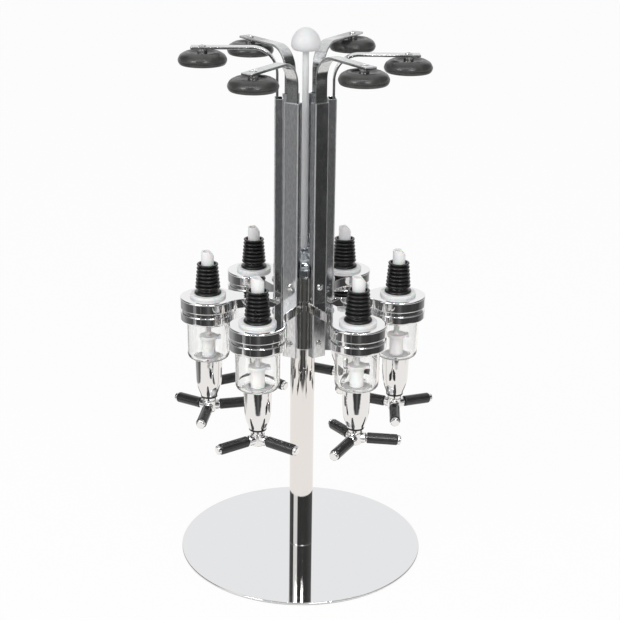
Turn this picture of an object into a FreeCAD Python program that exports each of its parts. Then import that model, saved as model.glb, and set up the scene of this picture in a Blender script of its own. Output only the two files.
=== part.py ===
"""Six-bottle rotary shot dispenser: a parametric assembly, millimetres, +Z up.

The origin is the centre of the mat's underside.  Station 1 lies on +X and the
others follow every 60 degrees, counterclockwise seen from above.  Pieces that
repeat at the stations are modelled once, on the Z axis or at station 1, and
linked to their places.
"""
import FreeCAD, Part
import math
import os
import Sketcher
from FreeCAD import Placement, Rotation, Vector

STATIONS = 6
STATION_ANGLE = 360 / STATIONS
LEVER_ARMS = 3
OVERCUT = 2.0    # how far a cutting tool reaches past the piece that it cuts

# name, millimetres or degrees, what it is
DIMENSIONS = [
    ("base_radius", 128.2, "round base plate"),
    ("base_thickness", 2.0, "base plate, sheet steel"),
    ("base_edge", 0.5, "rounding of the plate's upper edge"),
    ("mat_thickness", 1.0, "non-slip mat under the plate"),
    ("mat_inset", 1.2, "how far the mat stays inside the plate's edge"),
    ("fit_gap", 0.05, "clearance of parts that stay put"),
    ("running_gap", 0.07, "radial clearance of parts that turn or slide"),
    ("pole_radius", 12.5, "stainless pole"),
    ("pole_wall", 1.5, "pole's wall"),
    ("pole_top", 302.0, "height of the pole's upper end"),
    ("plug_length", 16.0, "threaded plug in the pole's foot"),
    ("screw_radius", 3.0, "base screw"),
    ("screw_head", 6.0, "radius of its countersunk head"),
    ("screw_length", 15.0, "base screw with its head"),
    ("seat_height", 232.2, "underside of the ring that carries the hub"),
    ("seat_radius", 17.5, "ring on the pole that carries the hub"),
    ("seat_thickness", 3.0, "that ring"),
    ("seat_chamfer", 0.6, "its outer corners"),
    ("thrust_gap", 0.15, "height between the ring and the turning hub"),
    ("hub_flat", 21.5, "distance of the hub's six flats from the axis"),
    ("hub_round", 24.0, "radius of the hub's turned corners"),
    ("hub_top", 311.0, "height of the hub's upper face"),
    ("hub_land", 12.0, "length of each bearing land in the hub's bore"),
    ("hub_headroom", 1.0, "room above the pole's end in the hub"),
    ("hub_relief", 0.8, "how much wider the bore is between the lands"),
    ("cap_radius", 20.8, "dome cap on the hub"),
    ("cap_rim", 8.0, "height of the cap's cylindrical rim"),
    ("cap_dome", 14.0, "rise of the dome above the rim"),
    ("cap_dome_radius", 17.0, "radius of the dome's curve"),
    ("cap_neck", 5.2, "radius of the neck that grips the rod"),
    ("cap_neck_height", 4.0, "neck above the dome"),
    ("rod_radius", 3.15, "lifting rod"),
    ("rod_bite", 6.0, "length of the rod screwed into the hub's roof"),
    ("knob_radius", 14.2, "mushroom knob"),
    ("knob_foot_radius", 10.5, "flat underside of the knob"),
    ("knob_bottom", 535.4, "height of the knob's underside"),
    ("knob_belly", 5.6, "height of the widest part above the underside"),
    ("knob_top", 557.0, "overall height"),
    ("knob_cheek_radius", 5.8, "radius of the knob's lower curve"),
    ("knob_bore", 12.0, "depth of the rod's hole in the knob"),
    ("rail_width", 15.5, "rail, across"),
    ("rail_depth", 8.7, "rail, outwards"),
    ("rail_wall", 1.0, "rail's wall"),
    ("rail_corner", 1.2, "rail's outer corner radius"),
    ("rail_bottom", 228.0, "height of the rail's lower end"),
    ("rail_top", 489.0, "height of the rail's upper end"),
    ("rail_screw_low", 243.0, "height of the lower rail screws"),
    ("rail_screw_high", 303.2, "height of the upper rail screws"),
    ("rail_screw_radius", 1.9, "rail screw"),
    ("rail_screw_head", 3.4, "radius of its head"),
    ("rail_screw_cap", 1.9, "height of its head"),
    ("rail_screw_rim", 0.6, "height of the head's rim"),
    ("rail_screw_bite", 6.5, "length of the screw inside the hub"),
    ("ring_radius", 97.0, "distance of the measures from the pole"),
    ("collar_top", 286.0, "height of the measure's upper face"),
    ("collar_radius", 28.4, "measure's collar"),
    ("collar_height", 11.3, "collar's outer band"),
    ("collar_plate", 5.0, "thickness of the collar's top"),
    ("collar_edge", 1.6, "rounding of the collar's upper edge"),
    ("groove_depth", 1.4, "groove between collar and clamp ring"),
    ("groove_height", 4.0, "that groove"),
    ("spigot_radius", 24.6, "threaded spigot below the collar"),
    ("spigot_wall", 2.4, "spigot's wall"),
    ("bottle_seat_radius", 18.3, "white bottle seat on the collar"),
    ("bottle_seat_height", 3.0, "bottle seat"),
    ("bottle_seat_edge", 1.2, "rounding of the seat's edge"),
    ("neck_half", 10.0, "half width of the neck to the rail"),
    ("neck_flare", 30.0, "radius where the neck meets the collar"),
    ("neck_height", 9.8, "neck"),
    ("neck_back", 22.4, "distance of the neck's saddle from the axis"),
    ("clamp_height", 9.5, "clamp ring that holds the chamber"),
    ("clamp_lip", 2.6, "its lip under the chamber's flange"),
    ("clamp_chamfer", 1.3, "its lower edge"),
    ("chamber_radius", 22.1, "clear chamber"),
    ("chamber_wall", 2.0, "chamber's wall"),
    ("chamber_flange", 2.0, "thickness of the chamber's flange"),
    ("chamber_bottom", 218.6, "height of the chamber's underside"),
    ("chamber_round", 6.0, "rounding of the chamber's lower edge"),
    ("chamber_floor", 3.0, "chamber's floor"),
    ("tube_radius", 7.0, "white valve tube in the chamber"),
    ("tube_bore", 4.9, "radius of the bores of valve tube and spout"),
    ("tube_depth", 5.5, "how deep the tube is screwed into the nozzle"),
    ("tube_flange", 9.3, "radius of the tube's flange"),
    ("tube_flange_rise", 24.9, "flange's upper face above the chamber's underside"),
    ("tube_flange_height", 3.4, "that flange"),
    ("tube_web", 1.6, "thickness of the end walls of tube and spout at the stem"),
    ("tube_stem", 2.8, "radius of the stem between flange and spout"),
    ("tube_stem_bore", 1.4, "radius of the stem's air bore"),
    ("tube_stem_length", 19.0, "that stem"),
    ("tube_neck", 6.4, "radius of the spout, the tube in the cork"),
    ("tube_tip_rise", 12.8, "how far the spout stands out of the cork"),
    ("tube_cut", 4.8, "height of the slanted cut at the tip"),
    ("tube_cut_offset", 1.6, "distance from the spout's axis to where that cut starts"),
    ("wing_length", 12.5, "reach of the flange's wing"),
    ("wing_half", 4.2, "half width of that wing"),
    ("cork_flange", 13.9, "radius of the cork's flange"),
    ("cork_flange_height", 5.0, "that flange"),
    ("cork_edge", 1.25, "rounding of that flange"),
    ("cork_foot", 12.9, "radius of the lowest rib"),
    ("cork_head", 10.9, "radius of the top rib"),
    ("cork_height", 31.5, "rubber cork"),
    ("cork_lip", 2.4, "width of the lip round the cork's mouth"),
    ("cork_mouth", 2.2, "depth of the cork's mouth round the spout"),
    ("rib_depth", 2.2, "depth of the grooves between the ribs"),
    ("nozzle_radius", 14.0, "chrome nozzle, top"),
    ("nozzle_waist", 13.1, "nozzle where its sides turn in"),
    ("nozzle_waist_height", 191.5, "height of that"),
    ("nozzle_mouth", 8.7, "nozzle, lower end"),
    ("nozzle_bottom", 177.0, "height of the nozzle's lower end"),
    ("nozzle_cheek", 22.0, "radius of the curve to the mouth"),
    ("nozzle_web", 4.0, "floor that guides the valve rod"),
    ("nozzle_cavity", 9.0, "radius of the spring's room"),
    ("nozzle_guide", 6.5, "length of the plunger's guide"),
    ("seal_height", 2.0, "black ring at the nozzle's mouth"),
    ("seal_round", 1.0, "rounding of that ring's lower edge"),
    ("seal_gap", 0.35, "clearance of the ring round the plunger"),
    ("plunger_radius", 7.0, "plunger"),
    ("plunger_bottom", 158.2, "height of the plunger's lower end"),
    ("plunger_top", 184.5, "height of the plunger's shoulder"),
    ("plunger_round", 2.5, "rounding of its lower end"),
    ("valve_rod", 2.4, "radius of the valve rod"),
    ("valve_head_radius", 4.5, "valve head in the tube"),
    ("valve_head_height", 6.0, "that head"),
    ("valve_room", 5.2, "room above the valve head, more than the plunger's travel"),
    ("lever_height", 165.2, "height of the levers' axes at the plunger"),
    ("lever_droop", 3.8, "degrees that the levers fall outwards"),
    ("lever_rod", 2.8, "radius of the lever's rod"),
    ("lever_root", 5.4, "radius of the knuckle at the rod's root"),
    ("lever_root_gap", 0.6, "bare rod between that knuckle and the grip"),
    ("lever_root_taper", 1.6, "length of the knuckle's taper"),
    ("grip_start", 11.6, "where the black grip starts"),
    ("grip_end", 42.3, "where it ends"),
    ("grip_radius", 5.5, "grip"),
    ("grip_chamfer", 0.7, "chamfer of the grip's ends"),
    ("lever_reach", 45.8, "end of the lever"),
    ("lever_tip", 4.7, "radius of the lever's end button"),
    ("lever_chamfer", 0.9, "chamfer of that button"),
    ("spring_radius", 5.2, "return spring, middle of the wire"),
    ("spring_wire", 0.6, "radius of its wire"),
    ("spring_turns", 6.0, "turns"),
    ("pad_height", 511.0, "height of the pads' undersides at the lower stop"),
    ("pad_radius", 23.9, "bottle pad"),
    ("pad_thick", 12.6, "bottle pad"),
    ("pad_shoulder", 12.5, "radius of the curve from the rim to the ring"),
    ("pad_lip", 1.4, "how far the underside draws in from the widest line"),
    ("pad_rim", 3.4, "height of the pad's widest line"),
    ("pad_rim_radius", 3.8, "radius of the curve below that line"),
    ("pad_crest", 14.5, "radius of the raised ring on the pad"),
    ("pad_eye", 8.5, "radius of the pad's flat middle"),
    ("pad_eye_drop", 2.2, "how far the middle lies below the ring"),
    ("pad_hollow", 17.0, "radius of the hollow underneath"),
    ("pad_hollow_depth", 2.0, "that hollow"),
    ("arm_width", 12.4, "flat arm"),
    ("arm_thick", 2.5, "flat arm"),
    ("arm_play", 0.5, "gap between the arm and the rail's front wall"),
    ("arm_bend", 24.0, "radius of the arm's bend, middle of the bar"),
    ("arm_over_pad", 15.4, "underside of the arm above the pad's underside"),
    ("arm_reach", 71.8, "from the arm's leg to the pad's middle"),
    ("arm_end", 11.3, "arm beyond the pad's middle"),
    ("arm_stop", 0.3, "gap between the arm's foot and the screw that stops it"),
    ("bolt_radius", 2.0, "pad bolt"),
    ("bolt_boss", 5.0, "radius of the bolt's spacer boss"),
    ("bolt_head", 3.6, "radius of its head"),
    ("bolt_cap", 1.2, "height of its head"),
    ("bolt_rim", 0.6, "height of the head's rim"),
    ("bolt_bite", 5.5, "length of the bolt inside the pad"),
    ("arm_rise_1", 3.6, "arm 1 above its lower stop"),
    ("arm_rise_2", 9.8, "arm 2"),
    ("arm_rise_3", 5.5, "arm 3"),
    ("arm_rise_4", 10.1, "arm 4"),
    ("arm_rise_5", 1.6, "arm 5"),
    ("arm_rise_6", 7.8, "arm 6"),
    ("arm_turn_1", -2.4, "degrees that arm 1 is turned in its rail"),
    ("arm_turn_2", -2.5, "arm 2"),
    ("arm_turn_3", 1.9, "arm 3"),
    ("arm_turn_4", -1.1, "arm 4"),
    ("arm_turn_5", -2.6, "arm 5"),
    ("arm_turn_6", -1.3, "arm 6"),
    ("lever_turn_1", 25.0, "degrees that lever 1 is turned on its own axis"),
    ("lever_turn_2", -37.0, "lever 2"),
    ("lever_turn_3", -42.0, "lever 3"),
    ("lever_turn_4", -41.0, "lever 4"),
    ("lever_turn_5", -33.0, "lever 5"),
    ("lever_turn_6", 57.0, "lever 6"),
]


class Size:
    """A length or angle: its number now, and the sheet's formula that gives it."""

    def __init__(self, value, text):
        self.value = value
        self.text = text

    def __add__(self, other):
        return joined(self, "+", other)

    def __radd__(self, other):
        return joined(other, "+", self)

    def __sub__(self, other):
        return joined(self, "-", other)

    def __rsub__(self, other):
        return joined(other, "-", self)

    def __mul__(self, other):
        return joined(self, "*", other)

    def __rmul__(self, other):
        return joined(other, "*", self)

    def __truediv__(self, other):
        return joined(self, "/", other)

    def __neg__(self):
        return 0 - self


def as_size(value):
    return value if isinstance(value, Size) else Size(float(value), f"{value:g}")


def joined(left, sign, right):
    left, right = as_size(left), as_size(right)
    values = {
        "+": left.value + right.value,
        "-": left.value - right.value,
        "*": left.value * right.value,
        "/": left.value / right.value if right.value else 0.0,
    }
    return Size(values[sign], f"({left.text} {sign} {right.text})")


def root(size):
    return Size(math.sqrt(size.value), f"sqrt({size.text})")


class Sizes:
    """The driving dimensions, each as a Size bound to its cell."""


def fill_sheet(doc):
    sheet = doc.addObject("Spreadsheet::Sheet", "Dimensions")
    for row, (name, value, note) in enumerate(DIMENSIONS, 1):
        sheet.set(f"A{row}", name)
        sheet.set(f"B{row}", str(value))
        sheet.setAlias(f"B{row}", name)
        sheet.set(f"C{row}", note)
    doc.recompute()
    sizes = Sizes()
    for name, _, _ in DIMENSIONS:
        setattr(sizes, name, Size(float(sheet.get(name)), f"Dimensions.{name}"))
    return sizes


doc = FreeCAD.newDocument("ShotDispenser")
d = fill_sheet(doc)
NODES = []


def node(feature, name):
    """Name a finished sub-part; the name is also that of its file."""
    feature.Label = name
    NODES.append(feature)
    return feature


# ---- sketches -----------------------------------------------------------

LEFT, RIGHT = 1, -1


def bend(radius, side):
    """An outline's corner reached by an arc whose centre is on that side."""
    return as_size(radius), side


def crown(radius, height):
    """The bend of a spherical crown that ends on the axis."""
    return bend((radius * radius + height * height) / (height * 2), LEFT)


def arc_edge(start, end, radius, side):
    chord = end - start
    half = chord.Length / 2
    rise = math.sqrt(max(radius * radius - half * half, 0.0))
    normal = Vector(-chord.y, chord.x, 0) / chord.Length
    centre = (start + end) / 2 + normal * (rise * side)
    first, last = (start, end) if side == LEFT else (end, start)
    angles = [math.atan2(point.y - centre.y, point.x - centre.x) for point in (first, last)]
    if angles[1] < angles[0]:
        angles[1] += 2 * math.pi
    return Part.ArcOfCircle(Part.Circle(centre, Vector(0, 0, 1), radius), *angles)


def add_outline(sketch, outline):
    """Add a closed outline of (x, y) or (x, y, bend) corners, bound to the sheet."""
    first = sketch.GeometryCount
    count = len(outline)
    points = [Vector(as_size(c[0]).value, as_size(c[1]).value, 0) for c in outline]
    ends = []
    for i in range(count):
        corner = outline[(i + 1) % count]
        start, end = points[i], points[(i + 1) % count]
        if len(corner) == 3:
            radius, side = corner[2]
            sketch.addGeometry(arc_edge(start, end, radius.value, side))
            ends.append((1, 2) if side == LEFT else (2, 1))
        else:
            sketch.addGeometry(Part.LineSegment(start, end))
            ends.append((1, 2))
    for i in range(count):
        following = (i + 1) % count
        sketch.addConstraint(Sketcher.Constraint(
            "Coincident", first + i, ends[i][1], first + following, ends[following][0]))
    for i, corner in enumerate(outline):
        place = (first + i, ends[i][0])
        for kind, axis, value in (("DistanceX", -2, corner[0]), ("DistanceY", -1, corner[1])):
            if isinstance(value, int) and value == 0:
                sketch.addConstraint(Sketcher.Constraint("PointOnObject", *place, axis))
                continue
            value = as_size(value)
            number = sketch.addConstraint(Sketcher.Constraint(kind, *place, value.value))
            sketch.setExpression(f"Constraints[{number}]", value.text)
    for i in range(count):
        corner = outline[(i + 1) % count]
        if len(corner) == 3:
            radius = corner[2][0]
            number = sketch.addConstraint(Sketcher.Constraint("Radius", first + i, radius.value))
            sketch.setExpression(f"Constraints[{number}]", radius.text)


def sketch_on(body, plane, outlines, lift):
    sketch = body.newObject("Sketcher::SketchObject", body.Name + "Outline")
    face = [item for item in body.Origin.OriginFeatures if item.Role == plane][0]
    sketch.AttachmentSupport = [(face, "")]
    sketch.MapMode = "FlatFace"
    lift = as_size(lift)
    sketch.AttachmentOffset = Placement(Vector(0, 0, lift.value), Rotation())
    sketch.setExpression("AttachmentOffset.Base.z", lift.text)
    for outline in outlines:
        add_outline(sketch, outline)
    return sketch


def turned(name, outline):
    """A body turned about the Z axis from an outline of (radius, height) corners."""
    body = doc.addObject("PartDesign::Body", name)
    sketch = sketch_on(body, "XZ_Plane", [outline], 0)
    turn = body.newObject("PartDesign::Revolution", name + "Turn")
    turn.Profile = sketch
    turn.ReferenceAxis = (sketch, ["V_Axis"])
    turn.Angle = 360
    sketch.Visibility = False
    return body


def padded(name, plane, outlines, lift, length):
    """A body padded from outlines on a plane, lifted along the plane's normal."""
    body = doc.addObject("PartDesign::Body", name)
    sketch = sketch_on(body, plane, outlines, lift)
    pad = body.newObject("PartDesign::Pad", name + "Pad")
    pad.Profile = sketch
    pad.Length = as_size(length).value
    pad.setExpression("Length", as_size(length).text)
    sketch.Visibility = False
    return body


# ---- primitives, booleans and places ------------------------------------

def bind(feature, **values):
    for key, value in values.items():
        value = as_size(value)
        setattr(feature, key, value.value)
        feature.setExpression(key, value.text)


def put(feature, x=0, y=0, z=0, axis=(0, 0, 1), angle=0):
    """Place a feature, with its position and turn bound to the sheet."""
    x, y, z, angle = (as_size(value) for value in (x, y, z, angle))
    spot = Vector(x.value, y.value, z.value)
    feature.Placement = Placement(spot, Rotation(Vector(*axis), angle.value))
    for path, value in (("Base.x", x), ("Base.y", y), ("Base.z", z), ("Rotation.Angle", angle)):
        feature.setExpression("Placement." + path, value.text)
    return feature


def cylinder(name, radius, height, **place):
    feature = doc.addObject("Part::Cylinder", name)
    bind(feature, Radius=radius, Height=height)
    return put(feature, **place)


def box(name, length, width, height, **place):
    feature = doc.addObject("Part::Box", name)
    bind(feature, Length=length, Width=width, Height=height)
    return put(feature, **place)


def cut(name, base, tool):
    feature = doc.addObject("Part::Cut", name)
    feature.Base, feature.Tool = base, tool
    return feature


def common(name, base, tool):
    feature = doc.addObject("Part::Common", name)
    feature.Base, feature.Tool = base, tool
    return feature


def fused(name, *shapes):
    feature = doc.addObject("Part::MultiFuse", name)
    feature.Shapes = list(shapes)
    feature.Refine = True
    return feature


def group(name, pieces):
    feature = doc.addObject("Part::Compound", name)
    feature.Links = list(pieces)
    return feature


def copy_at(piece, name, station=1, radius=0, turn=0, rise=0):
    """A linked copy at a station: out by radius, up by rise, turned on its own axis."""
    angle = STATION_ANGLE * (station - 1)
    link = doc.addObject("App::Link", name)
    link.LinkedObject = piece
    radius = as_size(radius)
    x = Size(radius.value * math.cos(math.radians(angle)), f"({radius.text} * cos({angle:g}))")
    y = Size(radius.value * math.sin(math.radians(angle)), f"({radius.text} * sin({angle:g}))")
    return put(link, x, y, rise, angle=angle + turn)


def turned_copy(piece, name, angle):
    """A linked copy turned about the Z axis on top of the piece's own place."""
    link = doc.addObject("App::Link", name)
    link.LinkedObject = piece
    link.LinkTransform = True
    link.Placement = Placement(Vector(), Rotation(Vector(0, 0, 1), angle))
    return link


def ring_of(piece, name, radius=0, alike=False):
    """Copies of one piece at every station; alike keeps them all turned as the first one."""
    return [copy_at(piece, f"{name}Copy{k}", k, radius, turn=-STATION_ANGLE * (k - 1) if alike else 0)
            for k in range(1, STATIONS + 1)]


# ---- heights and radii that several pieces share -------------------------

plate_bottom = d.mat_thickness
plate_top = plate_bottom + d.base_thickness
screw_cone = d.screw_head - d.screw_radius
pole_bore = d.pole_radius - d.pole_wall
hub_bottom = d.seat_height + d.seat_thickness + d.thrust_gap
rail_inner = d.hub_flat + d.fit_gap
rail_outer = rail_inner + d.rail_depth
rod_bottom = d.hub_top - d.rod_bite
rod_hole = d.rod_radius + d.fit_gap
band_bottom = d.collar_top - d.collar_height
clamp_top = band_bottom - d.groove_height
clamp_bottom = clamp_top - d.clamp_height
chamber_ledge = clamp_bottom + d.clamp_lip
chamber_top = chamber_ledge + d.chamber_flange
bottle_seat_top = d.collar_top + d.bottle_seat_height
tube_bottom = d.chamber_bottom - d.tube_depth
tube_flange_top = d.chamber_bottom + d.tube_flange_rise
tube_shoulder = tube_flange_top + d.tube_stem_length
tube_top = bottle_seat_top + d.cork_height + d.tube_tip_rise
valve_top = tube_flange_top - d.tube_web - d.valve_room
web_bottom = tube_bottom - d.nozzle_web
arm_under = d.pad_height + d.arm_over_pad
pad_eye_height = d.pad_thick - d.pad_eye_drop
leg_radius = rail_outer - d.rail_wall - d.arm_play - d.arm_thick / 2
arm_foot = d.rail_screw_high + d.rail_screw_radius + d.arm_stop


# ---- the stand -----------------------------------------------------------

def make_base_mat():
    edge = d.base_radius - d.mat_inset
    return turned("BaseMat", [
        (0, 0), (edge, 0), (edge, d.mat_thickness), (0, d.mat_thickness)])


def make_base_disc():
    hole = d.screw_head + d.fit_gap
    return turned("BaseDisc", [
        (hole, plate_bottom),
        (d.base_radius, plate_bottom),
        (d.base_radius, plate_top - d.base_edge),
        (d.base_radius - d.base_edge, plate_top, bend(d.base_edge, LEFT)),
        (hole - d.base_thickness, plate_top)])


def make_center_pole():
    return turned("CenterPole", [
        (pole_bore, plate_top), (d.pole_radius, plate_top),
        (d.pole_radius, d.pole_top), (pole_bore, d.pole_top)])


def make_pole_plug():
    bore = d.screw_radius + d.fit_gap
    outside = pole_bore - d.fit_gap
    top = plate_top + d.plug_length
    mouth = d.screw_head + d.fit_gap - d.base_thickness
    return turned("PolePlug", [
        (mouth, plate_top), (outside, plate_top), (outside, top), (bore, top),
        (bore, plate_bottom + screw_cone)])


def make_base_screw():
    return turned("BaseScrew", [
        (0, plate_bottom), (d.screw_head, plate_bottom),
        (d.screw_radius, plate_bottom + screw_cone),
        (d.screw_radius, plate_bottom + d.screw_length), (0, plate_bottom + d.screw_length)])


def make_hub_seat():
    inside = d.pole_radius + d.fit_gap
    top = d.seat_height + d.seat_thickness
    return turned("HubSeat", [
        (inside, d.seat_height),
        (d.seat_radius - d.seat_chamfer, d.seat_height),
        (d.seat_radius, d.seat_height + d.seat_chamfer),
        (d.seat_radius, top - d.seat_chamfer),
        (d.seat_radius - d.seat_chamfer, top),
        (inside, top)])


# ---- the turning hub, its cap and the lifting rod -------------------------

def make_screw_holes():
    """Two holes at station 1 through the rail and into the hub."""
    start = d.hub_flat - d.rail_screw_bite - d.fit_gap
    holes = []
    for name, height in (("Low", d.rail_screw_low), ("High", d.rail_screw_high)):
        holes.append(cylinder(
            "ScrewHole" + name, d.rail_screw_radius + d.fit_gap, rail_outer + OVERCUT - start,
            x=start, z=height, axis=(0, 1, 0), angle=90))
    return group("ScrewHoles", holes)


def make_hub(holes):
    height = d.hub_top - hub_bottom
    prism = doc.addObject("Part::Prism", "HubPrism")
    prism.Polygon = STATIONS
    bind(prism, Circumradius=d.hub_flat / math.cos(math.pi / STATIONS), Height=height)
    put(prism, z=hub_bottom, angle=STATION_ANGLE / 2)
    blank = common("HubBlank", prism, cylinder("HubRound", d.hub_round, height, z=hub_bottom))
    tight = d.pole_radius + d.running_gap
    wide = tight + d.hub_relief
    bore = turned("HubBore", [
        (0, hub_bottom), (tight, hub_bottom),
        (tight, hub_bottom + d.hub_land), (wide, hub_bottom + d.hub_land),
        (wide, d.pole_top - d.hub_land), (tight, d.pole_top - d.hub_land),
        (tight, d.pole_top + d.hub_headroom), (0, d.pole_top + d.hub_headroom)])
    tapped = cylinder("HubRodHole", rod_hole, d.rod_bite + d.fit_gap + OVERCUT,
                      z=rod_bottom - d.fit_gap)
    bored = cut("HubTapped", cut("HubBored", blank, bore), tapped)
    return cut("HubSleeve", bored, group("HubScrewHoles", ring_of(holes, "HubHoles")))


def make_dome_cap():
    rim_top = d.hub_top + d.cap_rim
    dome_top = rim_top + d.cap_dome
    neck_top = dome_top + d.cap_neck_height
    return turned("DomeCap", [
        (rod_hole, d.hub_top), (d.cap_radius, d.hub_top), (d.cap_radius, rim_top),
        (d.cap_neck, dome_top, bend(d.cap_dome_radius, LEFT)),
        (d.cap_neck, neck_top), (rod_hole, neck_top)])


def make_lift_rod():
    length = d.knob_bottom + d.knob_bore - rod_bottom
    return cylinder("LiftRod", d.rod_radius, length, z=rod_bottom)


def make_lift_knob():
    return turned("LiftKnob", [
        (rod_hole, d.knob_bottom), (d.knob_foot_radius, d.knob_bottom),
        (d.knob_radius, d.knob_bottom + d.knob_belly, bend(d.knob_cheek_radius, LEFT)),
        (0, d.knob_top, crown(d.knob_radius, d.knob_top - d.knob_bottom - d.knob_belly)),
        (0, d.knob_bottom + d.knob_bore), (rod_hole, d.knob_bottom + d.knob_bore)])


# ---- rails and their screws -------------------------------------------------

def make_rail(holes):
    half = d.rail_width / 2
    low, high, wall = rail_inner, rail_outer, d.rail_wall
    corner = bend(d.rail_corner, LEFT)
    outside = [
        (low + d.rail_corner, -half, corner), (high - d.rail_corner, -half),
        (high, d.rail_corner - half, corner), (high, half - d.rail_corner),
        (high - d.rail_corner, half, corner), (low + d.rail_corner, half),
        (low, half - d.rail_corner, corner), (low, d.rail_corner - half)]
    inside = [
        (low + wall, wall - half), (high - wall, wall - half),
        (high - wall, half - wall), (low + wall, half - wall)]
    tube = padded("RailTube", "XY_Plane", [outside, inside], d.rail_bottom,
                  d.rail_top - d.rail_bottom)
    return cut("Rail", tube, holes)


def make_rail_screw():
    shank = d.rail_screw_bite + d.fit_gap + d.rail_depth
    edge = shank + d.rail_screw_rim
    top = shank + d.rail_screw_cap
    crest = crown(d.rail_screw_head, d.rail_screw_cap - d.rail_screw_rim)
    screw = turned("RailScrew", [
        (0, 0), (d.rail_screw_radius, 0), (d.rail_screw_radius, shank),
        (d.rail_screw_head, shank), (d.rail_screw_head, edge),
        (0, top, crest)])
    low, high = [doc.addObject("App::Link", "RailScrew" + level) for level in ("Low", "High")]
    for link, height in ((low, d.rail_screw_low), (high, d.rail_screw_high)):
        link.LinkedObject = screw
        put(link, x=d.hub_flat - d.rail_screw_bite, z=height, axis=(0, 1, 0), angle=90)
    return group("RailScrewPair", [low, high])


# ---- the measure, on its own axis; the pole lies towards -X -----------------

def make_collar():
    bore = d.tube_neck + d.fit_gap
    spigot_inside = d.spigot_radius - d.spigot_wall
    spigot_bottom = chamber_top + d.fit_gap
    groove = d.collar_radius - d.groove_depth
    plate = d.collar_top - d.collar_plate
    body = turned("CollarBody", [
        (bore, plate), (spigot_inside, plate), (spigot_inside, spigot_bottom),
        (d.spigot_radius, spigot_bottom), (d.spigot_radius, clamp_top + d.fit_gap),
        (groove, clamp_top + d.fit_gap), (groove, band_bottom),
        (d.collar_radius, band_bottom), (d.collar_radius, d.collar_top - d.collar_edge),
        (d.collar_radius - d.collar_edge, d.collar_top, bend(d.collar_edge, LEFT)),
        (bore, d.collar_top)])
    return fused("MeasureCollar", body, make_neck())


def make_neck():
    """The neck flares into the collar and ends in a saddle round the rail."""
    reach = d.collar_radius + d.neck_flare
    side = d.neck_half + d.neck_flare
    flare_x = -root(reach * reach - side * side)
    meet_x = flare_x * d.collar_radius / reach
    meet_y = side * d.collar_radius / reach
    back = d.neck_back - d.ring_radius
    flare = bend(d.neck_flare, RIGHT)
    bottom = d.collar_top - d.neck_height
    plan = [
        (back, -d.neck_half), (flare_x, -d.neck_half), (meet_x, -meet_y, flare),
        (meet_x, meet_y), (flare_x, d.neck_half, flare), (back, d.neck_half)]
    blank = padded("NeckBlank", "XY_Plane", [plan], bottom, d.neck_height)
    half = d.rail_width / 2 + d.fit_gap
    depth = rail_outer + d.fit_gap - d.neck_back + OVERCUT
    tall = d.neck_height + OVERCUT * 2
    saddle = box("NeckSaddle", depth, half * 2, tall, x=back - OVERCUT, y=-half,
                 z=bottom - OVERCUT)
    inside = cylinder("NeckInside", d.spigot_radius, tall, z=bottom - OVERCUT)
    return cut("NeckTrimmed", cut("NeckSaddled", blank, saddle), inside)


def make_clamp_ring():
    inside = d.spigot_radius + d.fit_gap
    lip = d.chamber_radius + d.fit_gap
    return turned("ClampRing", [
        (lip, clamp_bottom), (d.collar_radius - d.clamp_chamfer, clamp_bottom),
        (d.collar_radius, clamp_bottom + d.clamp_chamfer), (d.collar_radius, clamp_top),
        (inside, clamp_top), (inside, chamber_ledge), (lip, chamber_ledge)])


def make_chamber():
    inside = d.chamber_radius - d.chamber_wall
    hole = d.tube_radius + d.fit_gap
    floor = d.chamber_bottom + d.chamber_floor
    inner_round = d.chamber_round - d.chamber_wall
    return turned("Chamber", [
        (hole, d.chamber_bottom), (d.chamber_radius - d.chamber_round, d.chamber_bottom),
        (d.chamber_radius, d.chamber_bottom + d.chamber_round, bend(d.chamber_round, LEFT)),
        (d.chamber_radius, chamber_ledge), (d.spigot_radius, chamber_ledge),
        (d.spigot_radius, chamber_top), (inside, chamber_top), (inside, floor + inner_round),
        (inside - inner_round, floor, bend(inner_round, RIGHT)), (hole, floor)])


def make_valve_tube():
    """A tube in the chamber with a winged flange, and the thin stem that carries it."""
    flange_bottom = tube_flange_top - d.tube_flange_height
    stem_top = tube_shoulder + d.tube_web
    tube = turned("ValveTubeBody", [
        (d.tube_bore, tube_bottom), (d.tube_radius, tube_bottom),
        (d.tube_radius, flange_bottom), (d.tube_flange, flange_bottom),
        (d.tube_flange, tube_flange_top), (d.tube_stem, tube_flange_top),
        (d.tube_stem, stem_top), (d.tube_stem_bore, stem_top),
        (d.tube_stem_bore, tube_flange_top - d.tube_web),
        (d.tube_bore, tube_flange_top - d.tube_web)])
    wing = box("TubeWing", d.wing_length - d.tube_radius, d.wing_half * 2,
               d.tube_flange_height, x=d.tube_radius - d.fit_gap, y=-d.wing_half, z=flange_bottom)
    return fused("WingedTube", tube, wing)


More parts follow.
